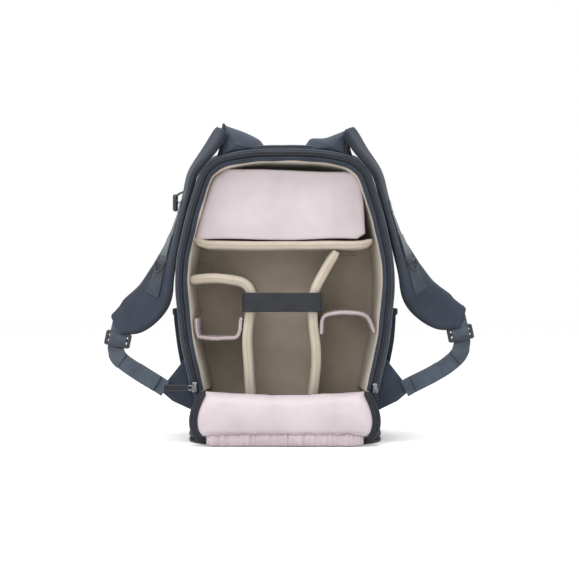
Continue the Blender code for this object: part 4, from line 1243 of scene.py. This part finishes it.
# %% Clip, feet, sliders and pulls
def rounded_block(name, low, high, r, mat, body, nodes=(), axis=0, neck=0.0):
    """A small moulded block: rounded sections along one axis, drawn in at the ends."""
    a, b = [k for k in range(3) if k != axis]
    rings = []
    for k in range(13):
        t = k / 12
        at = low[axis] + (high[axis] - low[axis]) * t
        edge = min(t, 1 - t) * (high[axis] - low[axis])
        shrink = r * 0.7 * (1 - math.sqrt(max(0.0, 1 - (1 - min(1.0, edge / r)) ** 2)))
        waist = neck * math.sin(math.pi * t) ** 2
        a0, a1 = low[a] + shrink + waist, high[a] - shrink - waist
        ring = []
        for p, q in soft_box(a0, a1, low[b] + shrink, high[b] - shrink, r, 0, 3, (1, 1)):
            place = Vector((0, 0, 0))
            place[axis], place[a], place[b] = at, p, q
            ring.append(place)
        rings.append(ring)
    return make_piece(name, rings, mat, body, nodes)


low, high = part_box("side_clip")
tab_low = low + Vector((0, 0.002, 0.002))
tab_high = Vector((low.x + 0.0075, high.y - 0.002, high.z - 0.0040))
rounded_block("side_clip_tab", tab_low, tab_high, 0.0025, PLASTIC, "bag", ["side_clip"], axis=2)
web = [(high.x + 0.004, 0.386), (high.x - 0.010, 0.378), (low.x + 0.006, 0.370), (low.x + 0.008, 0.360),
       (high.x - 0.006, 0.354), (high.x + 0.004, 0.350)]  # fmt: skip
web = through([Vector((x, 0.018, z)) for x, z in web], 5)
rings = ribbon_rings(web, [Vector((0, 1, 0))] * len(web), 0.0190, 0.0018)
make_piece("side_clip_webbing", rings, DARK_WEBBING, "bag", ())

for side in SIDES:
    low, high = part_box(f"foot_{side}")
    low, high = low - Vector((0, 0, 0.0002)), high + Vector((0, 0, 0.0010))
    rounded_block(f"foot_{side}_rail", low, high, 0.0012, RUBBER, "bag", [f"foot_{side}"], axis=1)

for side, sign in SIDES.items():
    body = {"left": "slider_l", "right": "slider_r"}[side]
    low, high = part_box(f"zip_slider_{side}")
    body_low, body_high = low + Vector((-0.0012, 0.0030, 0)), high + Vector((0.0012, 0.0012, 0))
    rounded_block(f"slider_body_{side}", body_low, body_high, 0.0018, METAL, body, [f"zip_slider_{side}"],
                  axis=2, neck=0.0012)  # fmt: skip
    bow = [(0.0032, low.z + 0.0020), (0.0006, low.z + 0.0045), (0.0006, high.z - 0.0045), (0.0032, high.z - 0.0020)]
    bridge = through([Vector(((low.x + high.x) / 2, low.y + y, z)) for y, z in bow], 5)
    rings = [[p + Vector((a, b, 0)) for a, b in round_section(0, 0, 0.0009, 8)] for p in bridge]
    make_piece(f"slider_bridge_{side}", rings, METAL, body, ())
    pull_body = {"left": "pull_l", "right": "pull_r"}[side]
    low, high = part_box(f"zip_pull_{side}")
    middle = (low + high) / 2
    turns = [2 * math.pi * k / 24 for k in range(24)]
    if sign < 0:
        grip_high = Vector((high.x - 0.010, high.y, high.z))
        rounded_block("pull_grip_left", low, grip_high, 0.0028, TAPE, pull_body, ["zip_pull_left"])
        a = Vector((grip_high.x - 0.002, middle.y, middle.z))
        ring = [a + Vector((0.0085 * (1 - math.cos(turn)) / 2, 0, 0.0034 * math.sin(turn))) for turn in turns]
        for height, level in (("low", low.z + 0.0014), ("high", high.z - 0.0014)):
            line = [Vector((low.x + 0.003 + 0.029 * k / 10, low.y - 0.0002, level)) for k in range(11)]
            stitches(f"pull_stitch_left_{height}", line, [TO_VIEWER] * 10, THREAD, pull_body, 0.0024, 0.0016, 0.0003)
    else:
        grip_high = Vector((high.x, high.y, high.z - 0.0085))
        rounded_block("pull_grip_right", low, grip_high, 0.0022, TAPE, pull_body, ["zip_pull_right"],
                      axis=2)  # fmt: skip
        a = Vector((middle.x, middle.y, high.z - 0.0105))
        ring = [a + Vector((0.0028 * math.sin(turn), 0, 0.0100 * (1 - math.cos(turn)) / 2)) for turn in turns]
    rings = swept(ring, Vector((0, 1, 0)), round_section(0, 0, 0.00085, 8), closed=True)
    make_piece(f"pull_bail_{side}", rings, METAL, pull_body, (), wrap=True)

low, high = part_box("front_zip")
track = [Vector((low.x + (high.x - low.x) * k / 20, (low.y + high.y) / 2, (low.z + high.z) / 2)) for k in range(21)]
rings = ribbon_rings(track, [Vector((0, 0, 1))] * 21, 0.012, 0.0015)
make_piece("front_zip_track", rings, TAPE, "bag", ["front_zip"])
zip_teeth("front_zip_teeth", [p + Vector((0, 0.0008, 0)) for p in track], [Vector((0, 1, 0))] * 20, "bag")
low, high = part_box("front_slider")
rounded_block("front_slider_body", Vector((low.x, low.y, high.z - 0.009)), high, 0.0016, METAL, "front_zip_slider",
              ["front_slider"], neck=0.001)  # fmt: skip
grip_low, grip_high = low + Vector((0.004, 0.0005, 0)), high - Vector((0.004, 0, 0.009))
rounded_block("front_slider_grip", grip_low, grip_high, 0.0016, TAPE, "front_zip_slider", (), axis=2)
print("trim done")
